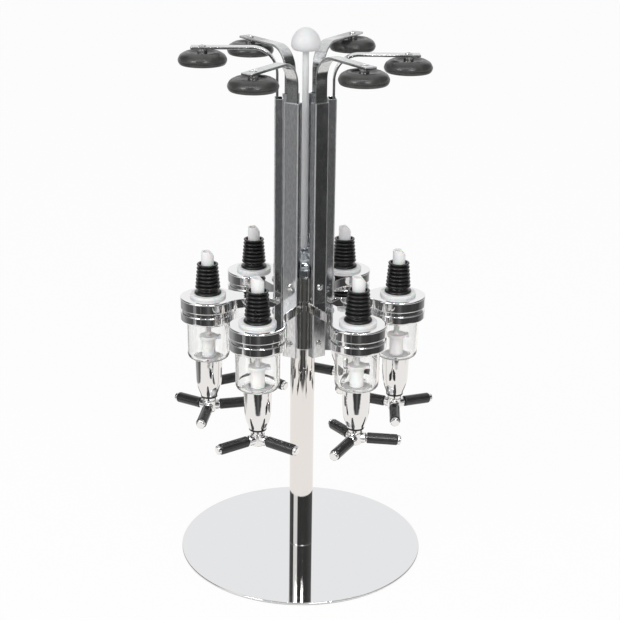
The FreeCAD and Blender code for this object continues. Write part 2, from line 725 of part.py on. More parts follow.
def make_spout():
    """The bottle seat with its spout: it goes down through the collar and up through the cork."""
    stem_hole = d.tube_stem + d.fit_gap
    seat = d.bottle_seat_radius
    spout = turned("SpoutBody", [
        (stem_hole, tube_shoulder), (d.tube_neck, tube_shoulder), (d.tube_neck, d.collar_top),
        (seat, d.collar_top), (seat, bottle_seat_top - d.bottle_seat_edge),
        (seat - d.bottle_seat_edge, bottle_seat_top, bend(d.bottle_seat_edge, LEFT)),
        (d.tube_neck, bottle_seat_top), (d.tube_neck, tube_top), (d.tube_bore, tube_top),
        (d.tube_bore, tube_shoulder + d.tube_web), (stem_hole, tube_shoulder + d.tube_web)])
    outside = d.tube_neck + OVERCUT
    slope = d.tube_cut / (d.tube_neck - d.tube_cut_offset)
    slant = padded("SpoutSlant", "XZ_Plane", [[
        (d.tube_cut_offset, tube_top), (outside, tube_top - slope * (outside - d.tube_cut_offset)),
        (outside, tube_top + OVERCUT), (d.tube_cut_offset, tube_top + OVERCUT)]],
        -d.tube_neck, d.tube_neck * 2)
    return cut("Spout", spout, slant)


def make_tube_and_spout():
    return group("ValveTube", [make_valve_tube(), make_spout()])


RIBS = 7
RIB_RISE, RIB_FALL = 0.3, 0.75    # where a rib's crest starts and ends in its pitch


def make_cork():
    """A rubber cork: a flange, then ribs that grow smaller upwards; the last one is the mouth's lip."""
    start = bottle_seat_top + d.cork_flange_height
    top = bottle_seat_top + d.cork_height
    pitch = (d.cork_height - d.cork_flange_height) / (RIBS - 1 + RIB_FALL)
    taper = (d.cork_foot - d.cork_head) / (RIBS - 1)
    hole = d.tube_neck + d.fit_gap
    edge = d.cork_edge
    outline = [
        (hole, bottle_seat_top), (d.cork_flange - edge, bottle_seat_top),
        (d.cork_flange, bottle_seat_top + edge, bend(edge, LEFT)),
        (d.cork_flange, start - edge),
        (d.cork_flange - edge, start, bend(edge, LEFT))]
    for rib in range(RIBS):
        crest = d.cork_foot - taper * rib
        foot = start + pitch * rib
        outline += [
            (crest - d.rib_depth, foot), (crest, foot + pitch * RIB_RISE),
            (crest, foot + pitch * RIB_FALL), (crest - d.rib_depth, foot + pitch)]
    outline[-1] = (d.cork_head - d.cork_lip, top)
    outline.append((hole, top - d.cork_mouth))
    return turned("Cork", outline)


def make_nozzle():
    guide = d.plunger_radius + d.running_gap
    guide_top = d.nozzle_bottom + d.nozzle_guide
    rod_hole = d.valve_rod + d.running_gap
    tube_hole = d.tube_radius + d.fit_gap
    return turned("Nozzle", [
        (guide, d.nozzle_bottom), (d.nozzle_mouth, d.nozzle_bottom),
        (d.nozzle_waist, d.nozzle_waist_height, bend(d.nozzle_cheek, LEFT)),
        (d.nozzle_radius, d.chamber_bottom), (tube_hole, d.chamber_bottom),
        (tube_hole, tube_bottom), (rod_hole, tube_bottom), (rod_hole, web_bottom),
        (d.nozzle_cavity, web_bottom), (d.nozzle_cavity, guide_top + d.running_gap),
        (guide, guide_top)])


def make_mouth_ring():
    inside = d.plunger_radius + d.seal_gap
    bottom = d.nozzle_bottom - d.seal_height
    return turned("MouthRing", [
        (inside, bottom), (d.nozzle_mouth - d.seal_round, bottom),
        (d.nozzle_mouth, bottom + d.seal_round, bend(d.seal_round, LEFT)),
        (d.nozzle_mouth, d.nozzle_bottom), (inside, d.nozzle_bottom)])


# ---- the plunger with its three levers --------------------------------------

def along_lever(body):
    """Lay a body turned about Z along the first lever: outwards and drooping."""
    return put(body, z=d.lever_height, axis=(0, 1, 0), angle=d.lever_droop + 90)


def make_spider():
    head_bottom = valve_top - d.valve_head_height
    stem = turned("PlungerStem", [
        (0, d.plunger_bottom), (d.plunger_radius - d.plunger_round, d.plunger_bottom),
        (d.plunger_radius, d.plunger_bottom + d.plunger_round, bend(d.plunger_round, LEFT)),
        (d.plunger_radius, d.plunger_top), (d.valve_rod, d.plunger_top),
        (d.valve_rod, head_bottom), (d.valve_head_radius, head_bottom),
        (d.valve_head_radius, valve_top), (0, valve_top)])
    root_end = d.grip_start - d.lever_root_gap
    chamfer = d.lever_chamfer
    lever = along_lever(turned("Lever", [
        (0, 0), (d.lever_root, 0), (d.lever_root, root_end - d.lever_root_taper),
        (d.lever_rod, root_end),
        (d.lever_rod, d.grip_end), (d.lever_tip, d.grip_end),
        (d.lever_tip, d.lever_reach - chamfer), (d.lever_tip - chamfer, d.lever_reach),
        (0, d.lever_reach)]))
    levers = [turned_copy(lever, f"LeverCopy{j}", 360 / LEVER_ARMS * j)
              for j in range(LEVER_ARMS)]
    return fused("Spider", stem, *levers)


def make_grips():
    inside = d.lever_rod + d.fit_gap
    end = d.grip_end - d.fit_gap
    chamfer = d.grip_chamfer
    grip = along_lever(turned("Grip", [
        (inside, d.grip_start), (d.grip_radius - chamfer, d.grip_start),
        (d.grip_radius, d.grip_start + chamfer), (d.grip_radius, end - chamfer),
        (d.grip_radius - chamfer, end), (inside, end)]))
    return group("Grips", [turned_copy(grip, f"GripCopy{j}", 360 / LEVER_ARMS * j)
                           for j in range(LEVER_ARMS)])


def make_spring():
    """The return spring between the plunger's shoulder and the nozzle's floor."""
    bottom = d.plunger_top + d.spring_wire + d.fit_gap
    height = web_bottom - d.spring_wire - d.fit_gap - bottom
    helix = doc.addObject("Part::Helix", "SpringLine")
    bind(helix, Radius=d.spring_radius, Height=height, Pitch=height / d.spring_turns)
    put(helix, z=bottom)
    wire = doc.addObject("Part::Circle", "SpringWire")
    bind(wire, Radius=d.spring_wire)
    put(wire, x=d.spring_radius, z=bottom, axis=(1, 0, 0), angle=90)
    sweep = doc.addObject("Part::Sweep", "Spring")
    sweep.Sections = [wire]
    sweep.Spine = helix
    sweep.Solid = True
    sweep.Frenet = True
    return sweep


# ---- the arm: its leg stands on the Z axis and it reaches towards +X ----------

def make_arm_bar():
    half = d.arm_thick / 2
    bend_start = arm_under + half - d.arm_bend
    end = d.arm_reach + d.arm_end
    bar = padded("ArmBlank", "XZ_Plane", [[
        (-half, arm_foot), (half, arm_foot), (half, bend_start),
        (d.arm_bend, arm_under, bend(d.arm_bend - half, RIGHT)),
        (end, arm_under), (end, arm_under + d.arm_thick),
        (d.arm_bend, arm_under + d.arm_thick),
        (-half, bend_start, bend(d.arm_bend + half, LEFT))]],
        -d.arm_width / 2, d.arm_width)
    hole = cylinder("ArmHole", d.bolt_radius + d.fit_gap, d.arm_thick + OVERCUT * 2,
                    x=d.arm_reach, z=arm_under - OVERCUT)
    return cut("ArmBar", bar, hole)


def make_pad():
    """A round rubber pad with a raised ring round its bolt and a hollow underneath."""
    base = d.pad_height
    hole = d.bolt_radius + d.fit_gap
    eye = base + pad_eye_height
    hole_end = eye - d.bolt_bite - d.fit_gap
    pad = turned("Pad", [
        (0, base + d.pad_hollow_depth), (d.pad_hollow, base),
        (d.pad_radius - d.pad_lip, base),
        (d.pad_radius, base + d.pad_rim, bend(d.pad_rim_radius, LEFT)),
        (d.pad_crest, base + d.pad_thick, bend(d.pad_shoulder, LEFT)),
        (d.pad_eye, eye, bend(d.pad_crest - d.pad_eye, RIGHT)),
        (hole, eye), (hole, hole_end), (0, hole_end)])
    return put(pad, x=d.arm_reach)


def make_pad_bolt():
    """The bolt through arm, spacer and pad, and the spacer."""
    eye = d.pad_height + pad_eye_height
    arm_top = arm_under + d.arm_thick
    head_edge = arm_top + d.bolt_rim
    bolt = turned("PadBoltBody", [
        (0, eye - d.bolt_bite), (d.bolt_radius, eye - d.bolt_bite), (d.bolt_radius, arm_top),
        (d.bolt_head, arm_top), (d.bolt_head, head_edge),
        (0, arm_top + d.bolt_cap, crown(d.bolt_head, d.bolt_cap - d.bolt_rim))])
    inside = d.bolt_radius + d.fit_gap
    spacer = turned("PadSpacer", [
        (inside, eye), (d.bolt_boss, eye), (d.bolt_boss, arm_under), (inside, arm_under)])
    return group("PadBolt", [put(bolt, x=d.arm_reach), put(spacer, x=d.arm_reach)])


# ---- assembly -----------------------------------------------------------------

def build():
    node(make_base_mat(), "base_mat")
    node(make_base_disc(), "base_disc")
    node(make_center_pole(), "center_pole")
    node(make_pole_plug(), "pole_plug")
    node(make_base_screw(), "base_screw")
    node(make_hub_seat(), "hub_seat_ring")

    holes = make_screw_holes()
    node(make_hub(holes), "hub_sleeve")
    node(make_dome_cap(), "dome_cap")
    node(make_lift_rod(), "lift_rod")
    node(make_lift_knob(), "lift_knob")

    rail, collar = make_rail(holes), make_collar()
    arm, pad, bolt = make_arm_bar(), make_pad(), make_pad_bolt()
    spider, grips = make_spider(), make_grips()
    for k in range(1, STATIONS + 1):
        node(group(f"Rail{k}", [copy_at(rail, f"RailCopy{k}", k)]), f"rail_{k}")
        measure = copy_at(collar, f"CollarCopy{k}", k, d.ring_radius)
        node(group(f"Collar{k}", [measure]), f"measure_collar_{k}")
        rise, turn = getattr(d, f"arm_rise_{k}"), getattr(d, f"arm_turn_{k}")
        for piece, name in ((arm, "arm_bar"), (pad, "bottle_pad"), (bolt, "pad_bolt")):
            title = piece.Name + str(k)
            carried = group(f"{title}OnLeg", [piece])
            copy = copy_at(carried, title + "Copy", k, leg_radius, turn, rise)
            node(group(title + "Placed", [copy]), f"{name}_{k}")
        turn = getattr(d, f"lever_turn_{k}")
        for piece, name in ((spider, "lever_spider"), (grips, "lever_grips")):
            title = piece.Name + str(k)
            copy = copy_at(piece, title + "Copy", k, d.ring_radius, turn)
            node(group(title + "Placed", [copy]), f"{name}_{k}")

    node(group("RailScrews", ring_of(make_rail_screw(), "RailScrew")), "rail_screws")
    for make, name in (
            (make_clamp_ring, "clamp_rings"), (make_chamber, "shot_chambers"),
            (make_tube_and_spout, "valve_tubes"), (make_cork, "rubber_corks"),
            (make_nozzle, "nozzles"), (make_mouth_ring, "mouth_rings"),
            (make_spring, "return_springs")):
        piece = make()
        copies = ring_of(piece, piece.Name, d.ring_radius, alike=make is make_tube_and_spout)
        node(group(name + "Group", copies), name)


def check_and_write():
    doc.recompute()
    for feature in doc.Objects:
        if "Invalid" in feature.State or "Error" in feature.State:
            raise RuntimeError(f"{feature.Name} failed: {feature.State}")
    os.makedirs("parts", exist_ok=True)
    for feature in NODES:
        shape = feature.Shape
        if shape.isNull() or not shape.isValid() or not shape.Solids:
            raise RuntimeError(f"{feature.Label} has no valid solid")
        shape.exportStep(f"parts/{feature.Label}.step")
        bounds = shape.BoundBox
        print(f"{feature.Label:22s} {len(shape.Solids)} solid(s) {shape.Volume:10.1f} mm3"
              f"  z {bounds.ZMin:.2f} to {bounds.ZMax:.2f}")


build()
check_and_write()
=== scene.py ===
# %% [markdown]
# # A shot dispenser for six bottles, dressed in Blender
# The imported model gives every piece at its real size. This notebook gives the pieces their rounded edges,
# their finishes and the light of a small studio. The object is mostly chrome, and chrome has no colour of
# its own: it is a picture of the room. So the notebook spends its care on two things, on edges that catch a
# line of light and on a room that is worth reflecting.

import math

import bmesh
import bpy
import numpy as np
from mathutils import Matrix, Vector


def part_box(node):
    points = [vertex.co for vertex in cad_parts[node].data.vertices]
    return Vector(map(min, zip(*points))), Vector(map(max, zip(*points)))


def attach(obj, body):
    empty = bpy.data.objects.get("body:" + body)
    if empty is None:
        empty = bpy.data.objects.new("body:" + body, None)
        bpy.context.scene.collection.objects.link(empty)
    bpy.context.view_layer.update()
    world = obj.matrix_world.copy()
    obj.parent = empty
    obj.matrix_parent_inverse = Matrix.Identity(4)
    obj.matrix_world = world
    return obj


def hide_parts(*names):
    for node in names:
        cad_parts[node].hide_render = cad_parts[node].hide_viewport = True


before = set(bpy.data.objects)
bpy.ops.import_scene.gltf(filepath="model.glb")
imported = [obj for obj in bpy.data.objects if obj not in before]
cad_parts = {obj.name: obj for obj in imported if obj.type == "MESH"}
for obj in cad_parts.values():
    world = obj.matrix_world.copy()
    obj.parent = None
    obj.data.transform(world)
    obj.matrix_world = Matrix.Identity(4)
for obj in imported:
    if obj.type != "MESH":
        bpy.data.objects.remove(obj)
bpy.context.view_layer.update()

MM = 0.001

# %% [markdown]
# ## Where things stand
# The six measures stand on a circle round the pole, every 60 degrees, and the first lies on +X. Its collar's
# box gives the circle's radius: the collar's outer edge less half its width. Heights and outer radii are read
# from the boxes too. What a box can't tell, such as a wall or a groove, is a named value beside its piece.

# %% The stations
STATIONS = range(1, 7)
STATION_ANGLE = 60.0

collar_low, collar_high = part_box("measure_collar_1")
COLLAR_RADIUS = (collar_high.y - collar_low.y) / 2 / MM
RING = collar_high.x / MM - COLLAR_RADIUS


def heights(node):
    """The lowest and highest z of a node, in millimetres."""
    low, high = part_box(node)
    return low.z / MM, high.z / MM


def on_axis(node):
    """The lowest and highest z and the radius of a node that stands on the pole's axis, in millimetres."""
    return *heights(node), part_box(node)[1].y / MM


def azimuth(station):
    """The degrees from +X to a station."""
    return STATION_ANGLE * (station - 1)


print(f"ring of measures: {RING:.1f} mm from the pole, collars {COLLAR_RADIUS:.1f} mm in radius")

# %% [markdown]
# ## Outlines with soft corners
# No real edge is sharp, and on chrome the rounding is what the eye sees: a bright line along each edge.
# Each outline here is a short list of corners, and each corner may give a set-back. The corner P then gives
# way to a small curve between A and B, the points on its two sides at that set-back. A holding point just
# outside A and B keeps the flats beside the curve truly flat when the mesh is shaded smooth.

# %% Rounding an outline's corners
STEPS = 6
HOLD = 0.12
TOUCHING = 1e-6    # millimetres: points closer than this are one


def rounded(corners, closed=True, steps=STEPS):
    """Corners (x, y) or (x, y, set-back), in millimetres, as an array of points.
    A corner's curve is (1-s)^2 A + 2 s (1-s) P + s^2 B, with s from 0 to 1."""
    table = np.array([(*corner, 0.0)[:3] for corner in corners], dtype=float)
    spots, back = table[:, None, :2], table[:, None, 2:]
    before = np.roll(spots, 1, axis=0) - spots
    after = np.roll(spots, -1, axis=0) - spots
    before /= np.maximum(np.linalg.norm(before, axis=2, keepdims=True), TOUCHING)
    after /= np.maximum(np.linalg.norm(after, axis=2, keepdims=True), TOUCHING)
    s = np.linspace(0, 1, steps + 1)[None, :, None]
    curve = spots + back * ((1 - s) ** 2 * before + s**2 * after)
    held = back + np.minimum(back, HOLD)
    points = np.concatenate([spots + held * before, curve, spots + held * after], axis=1).reshape(-1, 2)
    if not closed:
        skip = steps + 2
        points = points[skip:-skip]
    step = np.linalg.norm(points - np.roll(points, 1, axis=0), axis=1)
    keep = step > TOUCHING
    keep[0] = keep[0] or not closed
    return points[keep]


def oblong(low, high, half, inner, outer, steps=STEPS):
    """A rectangle from x = low to x = high, half wide to each side, with its corners' set-backs."""
    corners = [(low, -half, inner), (high, -half, outer), (high, half, outer), (low, half, inner)]
    return rounded(corners, steps=steps)


def soft_ends(low, high, inset, back):
    """The profile of an upright wall whose two ends turn in by an inset."""
    return rounded([(inset, low), (0, low, back), (0, high, back), (inset, high)], closed=False)


print("a square with soft corners:", len(rounded([(0, 0, 1), (9, 0, 1), (9, 9, 1), (0, 9, 1)])), "points")

# %% [markdown]
# ## Skins from grids
# Every piece is a grid of points: the columns run round the piece and close on themselves, and the rows run
# along it. Rows that end in a ring are closed by a flat cap, rows that shrink to a point are closed by a fan,
# and rows that return to their start make a piece with a hole through it. Modelling by hand would give the
# same shapes, but a formula keeps every copy exact and lets the main sizes follow the frame.

# %% From a grid to a mesh
SMOOTH_ANGLE = math.radians(42)
POINTED = 1e-7    # metres: an end narrower than this is a point


def joined(*columns):
    """Arrays and numbers side by side on a new last axis: coordinates as points, corners as faces."""
    return np.stack(np.broadcast_arrays(*columns), axis=-1)


def skin(grid, ring=False):
    """Vertices and faces over grid[row, column]: quads between neighbours, columns joined round.
    With ring the rows are joined too; otherwise each end gets a cap, or a fan if it is a point."""
    rows, columns = grid.shape[:2]
    points = grid.reshape(-1, 3)
    here = np.arange(rows * columns).reshape(rows, columns)
    beside = np.roll(here, -1, axis=1)
    if ring:
        above, above_beside = np.roll(here, -1, axis=0), np.roll(beside, -1, axis=0)
        return points, joined(here, beside, above_beside, above).reshape(-1, 4).tolist()
    pointed = np.ptp(grid[[0, -1]], axis=1).max(axis=1) < POINTED
    first, last = (1 if pointed[0] else 0), (rows - 2 if pointed[1] else rows - 1)
    low, high = slice(first, last), slice(first + 1, last + 1)
    faces = joined(here[low], beside[low], beside[high], here[high]).reshape(-1, 4).tolist()
    if pointed[0]:
        faces += joined(here[0, 0], beside[1], here[1]).tolist()
    else:
        faces.append(here[0, ::-1].tolist())
    if pointed[1]:
        faces += joined(here[-2], beside[-2], here[-1, 0]).tolist()
    else:
        faces.append(here[-1].tolist())
    return points, faces


def merged(parts):
    """Several (points, faces) pairs as one pair."""
    starts = np.cumsum([0] + [len(points) for points, _ in parts[:-1]])
    faces = [[index + start for index in face] for (_, some), start in zip(parts, starts) for face in some]
    return np.concatenate([points for points, _ in parts]), faces


def solid(name, part):
    """A mesh object from points in metres and faces. Its faces are turned outwards, and it is shaded
    smooth except at edges sharper than SMOOTH_ANGLE."""
    points, faces = part
    mesh = bpy.data.meshes.new(name)
    used, inverse = np.unique(np.concatenate([np.asarray(face) for face in faces]), return_inverse=True)
    ends = np.cumsum([len(face) for face in faces])
    mesh.from_pydata(points[used].tolist(), [], [face.tolist() for face in np.split(inverse, ends[:-1])])
    turner = bmesh.new()
    turner.from_mesh(mesh)
    bmesh.ops.recalc_face_normals(turner, faces=turner.faces)
    turner.to_mesh(mesh)
    turner.free()
    mesh.shade_smooth()
    mesh.set_sharp_from_angle(angle=SMOOTH_ANGLE)
    piece = bpy.data.objects.new(name, mesh)
    bpy.context.scene.collection.objects.link(piece)
    return piece


# %% Turned and swept pieces
ROUND, WIDE, FINE, SLIM, LEVER_ROUND, GRIP_ROUND = 96, 192, 144, 72, 48, 64    # columns round a piece


def turned(profile, columns=ROUND):
    """Turn a profile of (radius, height), in millimetres: (r cos a, r sin a, z), a from 0 to 360 degrees."""
    angle = np.linspace(0, 2 * np.pi, columns, endpoint=False)
    radius, height = profile[:, :1], profile[:, 1:]
    return joined(radius * np.cos(angle), radius * np.sin(angle), height) * MM


def lathe(corners, ring=False, columns=ROUND, steps=STEPS):
    """A turned piece from its profile's corners; without ring the profile starts and ends on the axis."""
    return skin(turned(rounded(corners, closed=ring, steps=steps), columns), ring)


def inwards(outline):
    """Unit vectors that point into a closed outline of (x, y) points that runs counterclockwise."""
    along = np.roll(outline, -1, axis=0) - np.roll(outline, 1, axis=0)
    along /= np.linalg.norm(along, axis=1, keepdims=True)
    return joined(-along[:, 1], along[:, 0])


def swept(outline, spots, across, aside, insets):
    """Carry an outline of (u, v), in millimetres, along a path.
    A row's points are spot + u across + v aside, with (u, v) moved inwards by the row's inset."""
    shrunk = outline[None] + inwards(outline)[None] * np.asarray(insets)[:, None, None]
    u, v = shrunk[..., :1], shrunk[..., 1:]
    spots, across, aside = (np.asarray(rows)[:, None] for rows in (spots, across, aside))
    return (spots + u * across + v * aside) * MM


def extruded(outline, profile, ring=False):
    """Stand an outline up along Z; the profile's rows are (inset, height), in millimetres."""
    inset, height = profile.T
    return skin(swept(outline, joined(0, 0, height), [[1, 0, 0]], [[0, 1, 0]], inset), ring)


# %% Moving and joining parts
def shift(x=0.0, z=0.0):
    """The matrix of a move along X and Z, in millimetres."""
    return Matrix.Translation((x * MM, 0, z * MM))


def spun(degrees, axis="Z"):
    """The matrix of a turn about an axis."""
    return Matrix.Rotation(math.radians(degrees), 4, axis)


def moved(part, matrix):
    """The same part after a 4 by 4 matrix: points R p + t."""
    points, faces = part
    matrix = np.array(matrix)
    return points @ matrix[:3, :3].T + matrix[:3, 3], faces


def at_station(part, station, radius=0.0, turn=0.0):
    """A part made on the Z axis, turned on itself, then carried out to its station (millimetres)."""
    angle = math.radians(azimuth(station))
    place = Matrix.Translation((radius * MM * math.cos(angle), radius * MM * math.sin(angle), 0))
    return moved(part, place @ Matrix.Rotation(angle + math.radians(turn), 4, "Z"))


def welded(parts):
    """One part from several closed parts that overlap, by Boolean unions."""
    first, *others = raws = [solid(f"raw_{i}", part) for i, part in enumerate(parts)]
    for other in others:
        union = first.modifiers.new("union", "BOOLEAN")
        union.operation, union.solver, union.object = "UNION", "MANIFOLD", other
    evaluated = first.evaluated_get(bpy.context.evaluated_depsgraph_get())
    mesh = bpy.data.meshes.new_from_object(evaluated)
    points = np.empty(len(mesh.vertices) * 3)
    mesh.vertices.foreach_get("co", points)
    faces = [list(face.vertices) for face in mesh.polygons]
    for raw in raws:
        bpy.data.objects.remove(raw)
    bpy.data.meshes.remove(mesh)
    return points.reshape(-1, 3), faces


def made(name, part, material, body, slot, *nodes):
    """Make a piece from a part, with its finish, its body and the CAD nodes that it stands for. The slot is
    not used.
    """
    piece = solid(name, part)
    piece.data.materials.append(material)
    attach(piece, body)
    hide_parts(*nodes)
    return piece


def finish_node(node, material):
    """Give a CAD node that stays as it is its finish."""
    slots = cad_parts[node].data.materials
    slots.clear()
    slots.append(material)


# %% [markdown]
# ## Finishes as sums
# A finish is a small graph of nodes. Dragging wires is quick for three nodes and slow for thirty, so here a
# socket is wrapped in a class that knows how to add, subtract and multiply: `0.04 + 0.03 * grain` then adds
# its own Math nodes. Everything else goes through one method, `node`.

# %% A socket that can be used in sums
class Value:
    """A number or colour on its way through a graph."""

    def __init__(self, graph, socket):
        self.graph, self.socket = graph, socket

    def __add__(self, other):
        return self.graph.maths("ADD", self, other)

    def __sub__(self, other):
        return self.graph.maths("SUBTRACT", self, other)

    def __rsub__(self, other):
        return self.graph.maths("SUBTRACT", other, self)

    def __mul__(self, other):
        return self.graph.maths("MULTIPLY", self, other)

    __radd__ = __add__
    __rmul__ = __mul__


class Graph:
    """A node tree, and node, the one method that adds to it."""

    def __init__(self, tree):
        self.tree = tree

    def node(self, kind, settings=None, inputs=None, output=0):
        """Add a node and return one of its outputs. Settings are its own properties or a ramp's stops,
        and inputs are the values or links of its sockets."""
        new = self.tree.nodes.new(kind)
        for key, value in (settings or {}).items():
            if key == "stops":
                self.set_stops(new.color_ramp.elements, value)
            else:
                setattr(new, key, value)
        for key, value in (inputs or {}).items():
            self.feed(new.inputs[key], value)
        return Value(self, new.outputs[output])

    def set_stops(self, elements, stops):
        """Give a ramp its (place, grey) stops; the first lies at 0 and the last at 1."""
        for place, _ in stops[1:-1]:
            elements.new(place)
        for element, (_, grey) in zip(elements, stops):
            element.color = (grey, grey, grey, 1)

    def feed(self, socket, value):
        if isinstance(value, Value):
            self.tree.links.new(value.socket, socket)
        else:
            socket.default_value = value

    def maths(self, operation, *values):
        return self.node("ShaderNodeMath", {"operation": operation}, dict(enumerate(values)))

    def between(self, low, high, value):
        """0 below low, 1 above high, and a smooth step between them."""
        return self.node("ShaderNodeMapRange", {"interpolation_type": "SMOOTHSTEP"},
                         {"Value": value, "From Min": low, "From Max": high})

    def tint(self, factor, first, second):
        """A colour between two colours."""
        inputs = {0: factor, 6: first, 7: second}
        return self.node("ShaderNodeMix", {"data_type": "RGBA"}, inputs, 2)

    def ray(self, kind):
        return self.node("ShaderNodeLightPath", output=kind)

    def once(self, depth):
        """1 where a ray's count, such as its Glossy Depth, is 1 or more, and 0 where it is 0."""
        return self.maths("MINIMUM", self.ray(depth), 1.0)

    def mix(self, factor, first, second):
        """A shader between two shaders."""
        return self.node("ShaderNodeMixShader", None, {0: factor, 1: first, 2: second})

    def show(self, shader):
        """Put a shader on the surface."""
        self.feed(self.tree.nodes["Material Output"].inputs["Surface"], shader)


class Finish(Graph):
    """A material: its graph, its shader, and the object coordinates that its patterns read."""

    def __init__(self, name, colour, **constants):
        self.material = bpy.data.materials.new(name)
        self.material.use_nodes = True
        super().__init__(self.material.node_tree)
        self.shader = self.tree.nodes["Principled BSDF"]
        self.set("Base Color", (*colour, 1.0))
        for key, value in constants.items():
            self.set(key.replace("_", " "), value)
        self.place = self.node("ShaderNodeTexCoord", output="Object")

    def set(self, socket, value):
        self.feed(self.shader.inputs[socket], value)

    def grain(self, size, stretch=(1, 1, 1), detail=3.0):
        """Noise from 0 to 1 whose spots are about size millimetres, drawn out along an axis by stretch."""
        scale = tuple(1 / length for length in stretch)
        place = self.node("ShaderNodeMapping", None, {"Vector": self.place, "Scale": scale})
        return self.node("ShaderNodeTexNoise", None,
                         {"Vector": place, "Scale": 1 / (size * MM), "Detail": detail, "Roughness": 0.55})

    def cloudy(self, factor, colour, other):
        """Let the colour drift towards another one where the factor is high."""
        self.set("Base Color", self.tint(factor, (*colour, 1.0), (*other, 1.0)))

    def bump(self, height, depth):
        """Raise the surface by a height from 0 to 1 times depth, in millimetres."""
        self.set("Normal", self.node("ShaderNodeBump", None, {"Height": height, "Distance": depth * MM}))


def split(graph, vector):
    """The three numbers of a vector."""
    return [graph.node("ShaderNodeSeparateXYZ", None, {0: vector}, axis) for axis in "XYZ"]


# %% [markdown]
# ## The metals
# Bright chrome is a mirror of about 80 per cent. Perfect mirrors look computed, so each one gets a slow
# waviness, which bends the reflections a little, and fine wiping marks, which spread some highlights. What
# bends a reflection is the slope, about twice the depth over the size of a wave, so half a degree is enough.
# Polished tube carries its marks along the pull of the mill. The rails and arms are plain drawn steel, greyer
# than the plated castings and mottled from the mill.

# %% Chrome, plating and hardware
ALONG_Z, ALL_WAYS = (1, 1, 14), (1, 1, 1)
WIPE_SIZE, SMEAR_SIZE, BARE_STEP = 0.8, 14, 0.2    # millimetres
SMEARED, MOTTLED = (0.42, 0.72), (0.36, 0.66)    # the noise where smears and mottle start and are full
BARE_PLASTIC, WORN_ROUGH = (0.95, 0.95, 0.94), 0.5


def metal(name, colour, wave, wave_depth, wipe, rough, rough_more, mottle=0.0, spot=1.6, plated=1.0,
          bare_above=None):
    """A mirror with waves of a size and depth in millimetres. Its roughness is rough, and wiping marks
    drawn out by wipe add up to rough_more. A mottle takes that share off its brightness, in spots of
    spot millimetres. Plated is how much of a mirror it is, and above bare_above it is bare plastic."""
    finish = Finish(name, colour, Metallic=plated)
    if bare_above:
        height = split(finish, finish.place)[2]
        bare = finish.between((bare_above - BARE_STEP) * MM, bare_above * MM, height)
        finish.set("Metallic", 1 - bare)
        finish.cloudy(bare, colour, BARE_PLASTIC)
    smears = finish.between(*SMEARED, finish.grain(SMEAR_SIZE, ALL_WAYS, 1.0))
    worn = finish.node("ShaderNodeAttribute", {"attribute_name": "worn"}, output="Fac")
    finish.set("Roughness", rough + rough_more * finish.grain(WIPE_SIZE, wipe) * smears + WORN_ROUGH * worn)
    if mottle:
        spots = finish.between(*MOTTLED, finish.grain(spot, wipe, 4.0))
        finish.cloudy(spots, colour, tuple(channel * (1 - mottle) for channel in colour))
    finish.bump(finish.grain(wave, wipe, 1.0), wave_depth)
    return finish.material


BARE_RIM = 0.1    # how far below its top the nozzle's plating ends
# Each: colour, a wave's size and depth, wipe, roughness and what the marks add, mottle and its spots' size.
plate_steel = metal("plate_steel", (0.77, 0.775, 0.785), 60, 0.03, ALL_WAYS, 0.03, 0.04)
pole_steel = metal("pole_steel", (0.81, 0.79, 0.77), 6, 0.012, ALONG_Z, 0.03, 0.10)
rail_steel = metal("rail_steel", (0.74, 0.75, 0.765), 7, 0.03, (1, 1, 3), 0.10, 0.12, 0.16, 1.6)
arm_steel = metal("arm_steel", (0.66, 0.67, 0.675), 8, 0.04, ALL_WAYS, 0.12, 0.16, 0.18, 1.6)
rod_steel = metal("rod_steel", (0.84, 0.845, 0.855), 6, 0.006, ALONG_Z, 0.06, 0.15)
# The lifting rod is chrome, but here it is mostly a pale dull body, only 15 per cent mirror: a painted white
# reflection.
rod_painted_white_reflection = metal("rod_painted_white_reflection", (0.86, 0.865, 0.87), 6, 0.006, ALONG_Z, 0.16, 0.15, plated=0.15)
plating = metal("chrome_plating", (0.83, 0.83, 0.835), 9, 0.04, ALL_WAYS, 0.02, 0.06)
hub_plating = metal("hub_plating", (0.62, 0.61, 0.58), 8, 0.05, (1, 1, 6), 0.06, 0.15)
nozzle_plating = metal("nozzle_plating", (0.83, 0.83, 0.835), 7, 0.03, ALL_WAYS, 0.02, 0.06,
                       bare_above=heights("nozzles")[1] - BARE_RIM)
lever_chrome = metal("lever_chrome", (0.86, 0.86, 0.865), 4, 0.02, ALL_WAYS, 0.02, 0.05)
cap_metal = metal("cap_metal", (0.52, 0.55, 0.58), 8, 0.04, ALL_WAYS, 0.14, 0.20, 0.2, 2.5)
screw_steel = metal("screw_steel", (0.74, 0.74, 0.73), 2, 0.01, ALL_WAYS, 0.12, 0.30, 0.2)
spring_steel = metal("spring_steel", (0.62, 0.62, 0.63), 2, 0.01, ALL_WAYS, 0.20, 0.20)
print("metals made:", len(bpy.data.materials))

# %% [markdown]
# ## Rubber and plastics
# The pads and corks are moulded rubber: nearly black, satin, with a fine grain and a faint cloud of dust. The
# grips are hard glossy plastic. The valve tubes, spouts and the knob are white plastic, and the chambers are
# clear: a clear wall lets light through to what stands in it, so its shadow rays pass.

# %% Black finishes
DUST_SIZE, DUSTED, DUST_ROUGH = 9, (0.4, 0.8), 0.10


def black(name, colour, dusty, rough, grain_size, grain_depth):
    """A dark finish: grain in the surface, and slow changes of colour and gloss."""
    finish = Finish(name, colour, IOR=1.5)
    cloud = finish.grain(DUST_SIZE, ALL_WAYS, 2.0)
    finish.cloudy(finish.between(*DUSTED, cloud), colour, dusty)
    finish.set("Roughness", rough + DUST_ROUGH * cloud)
    finish.bump(finish.grain(grain_size), grain_depth)
    return finish.material


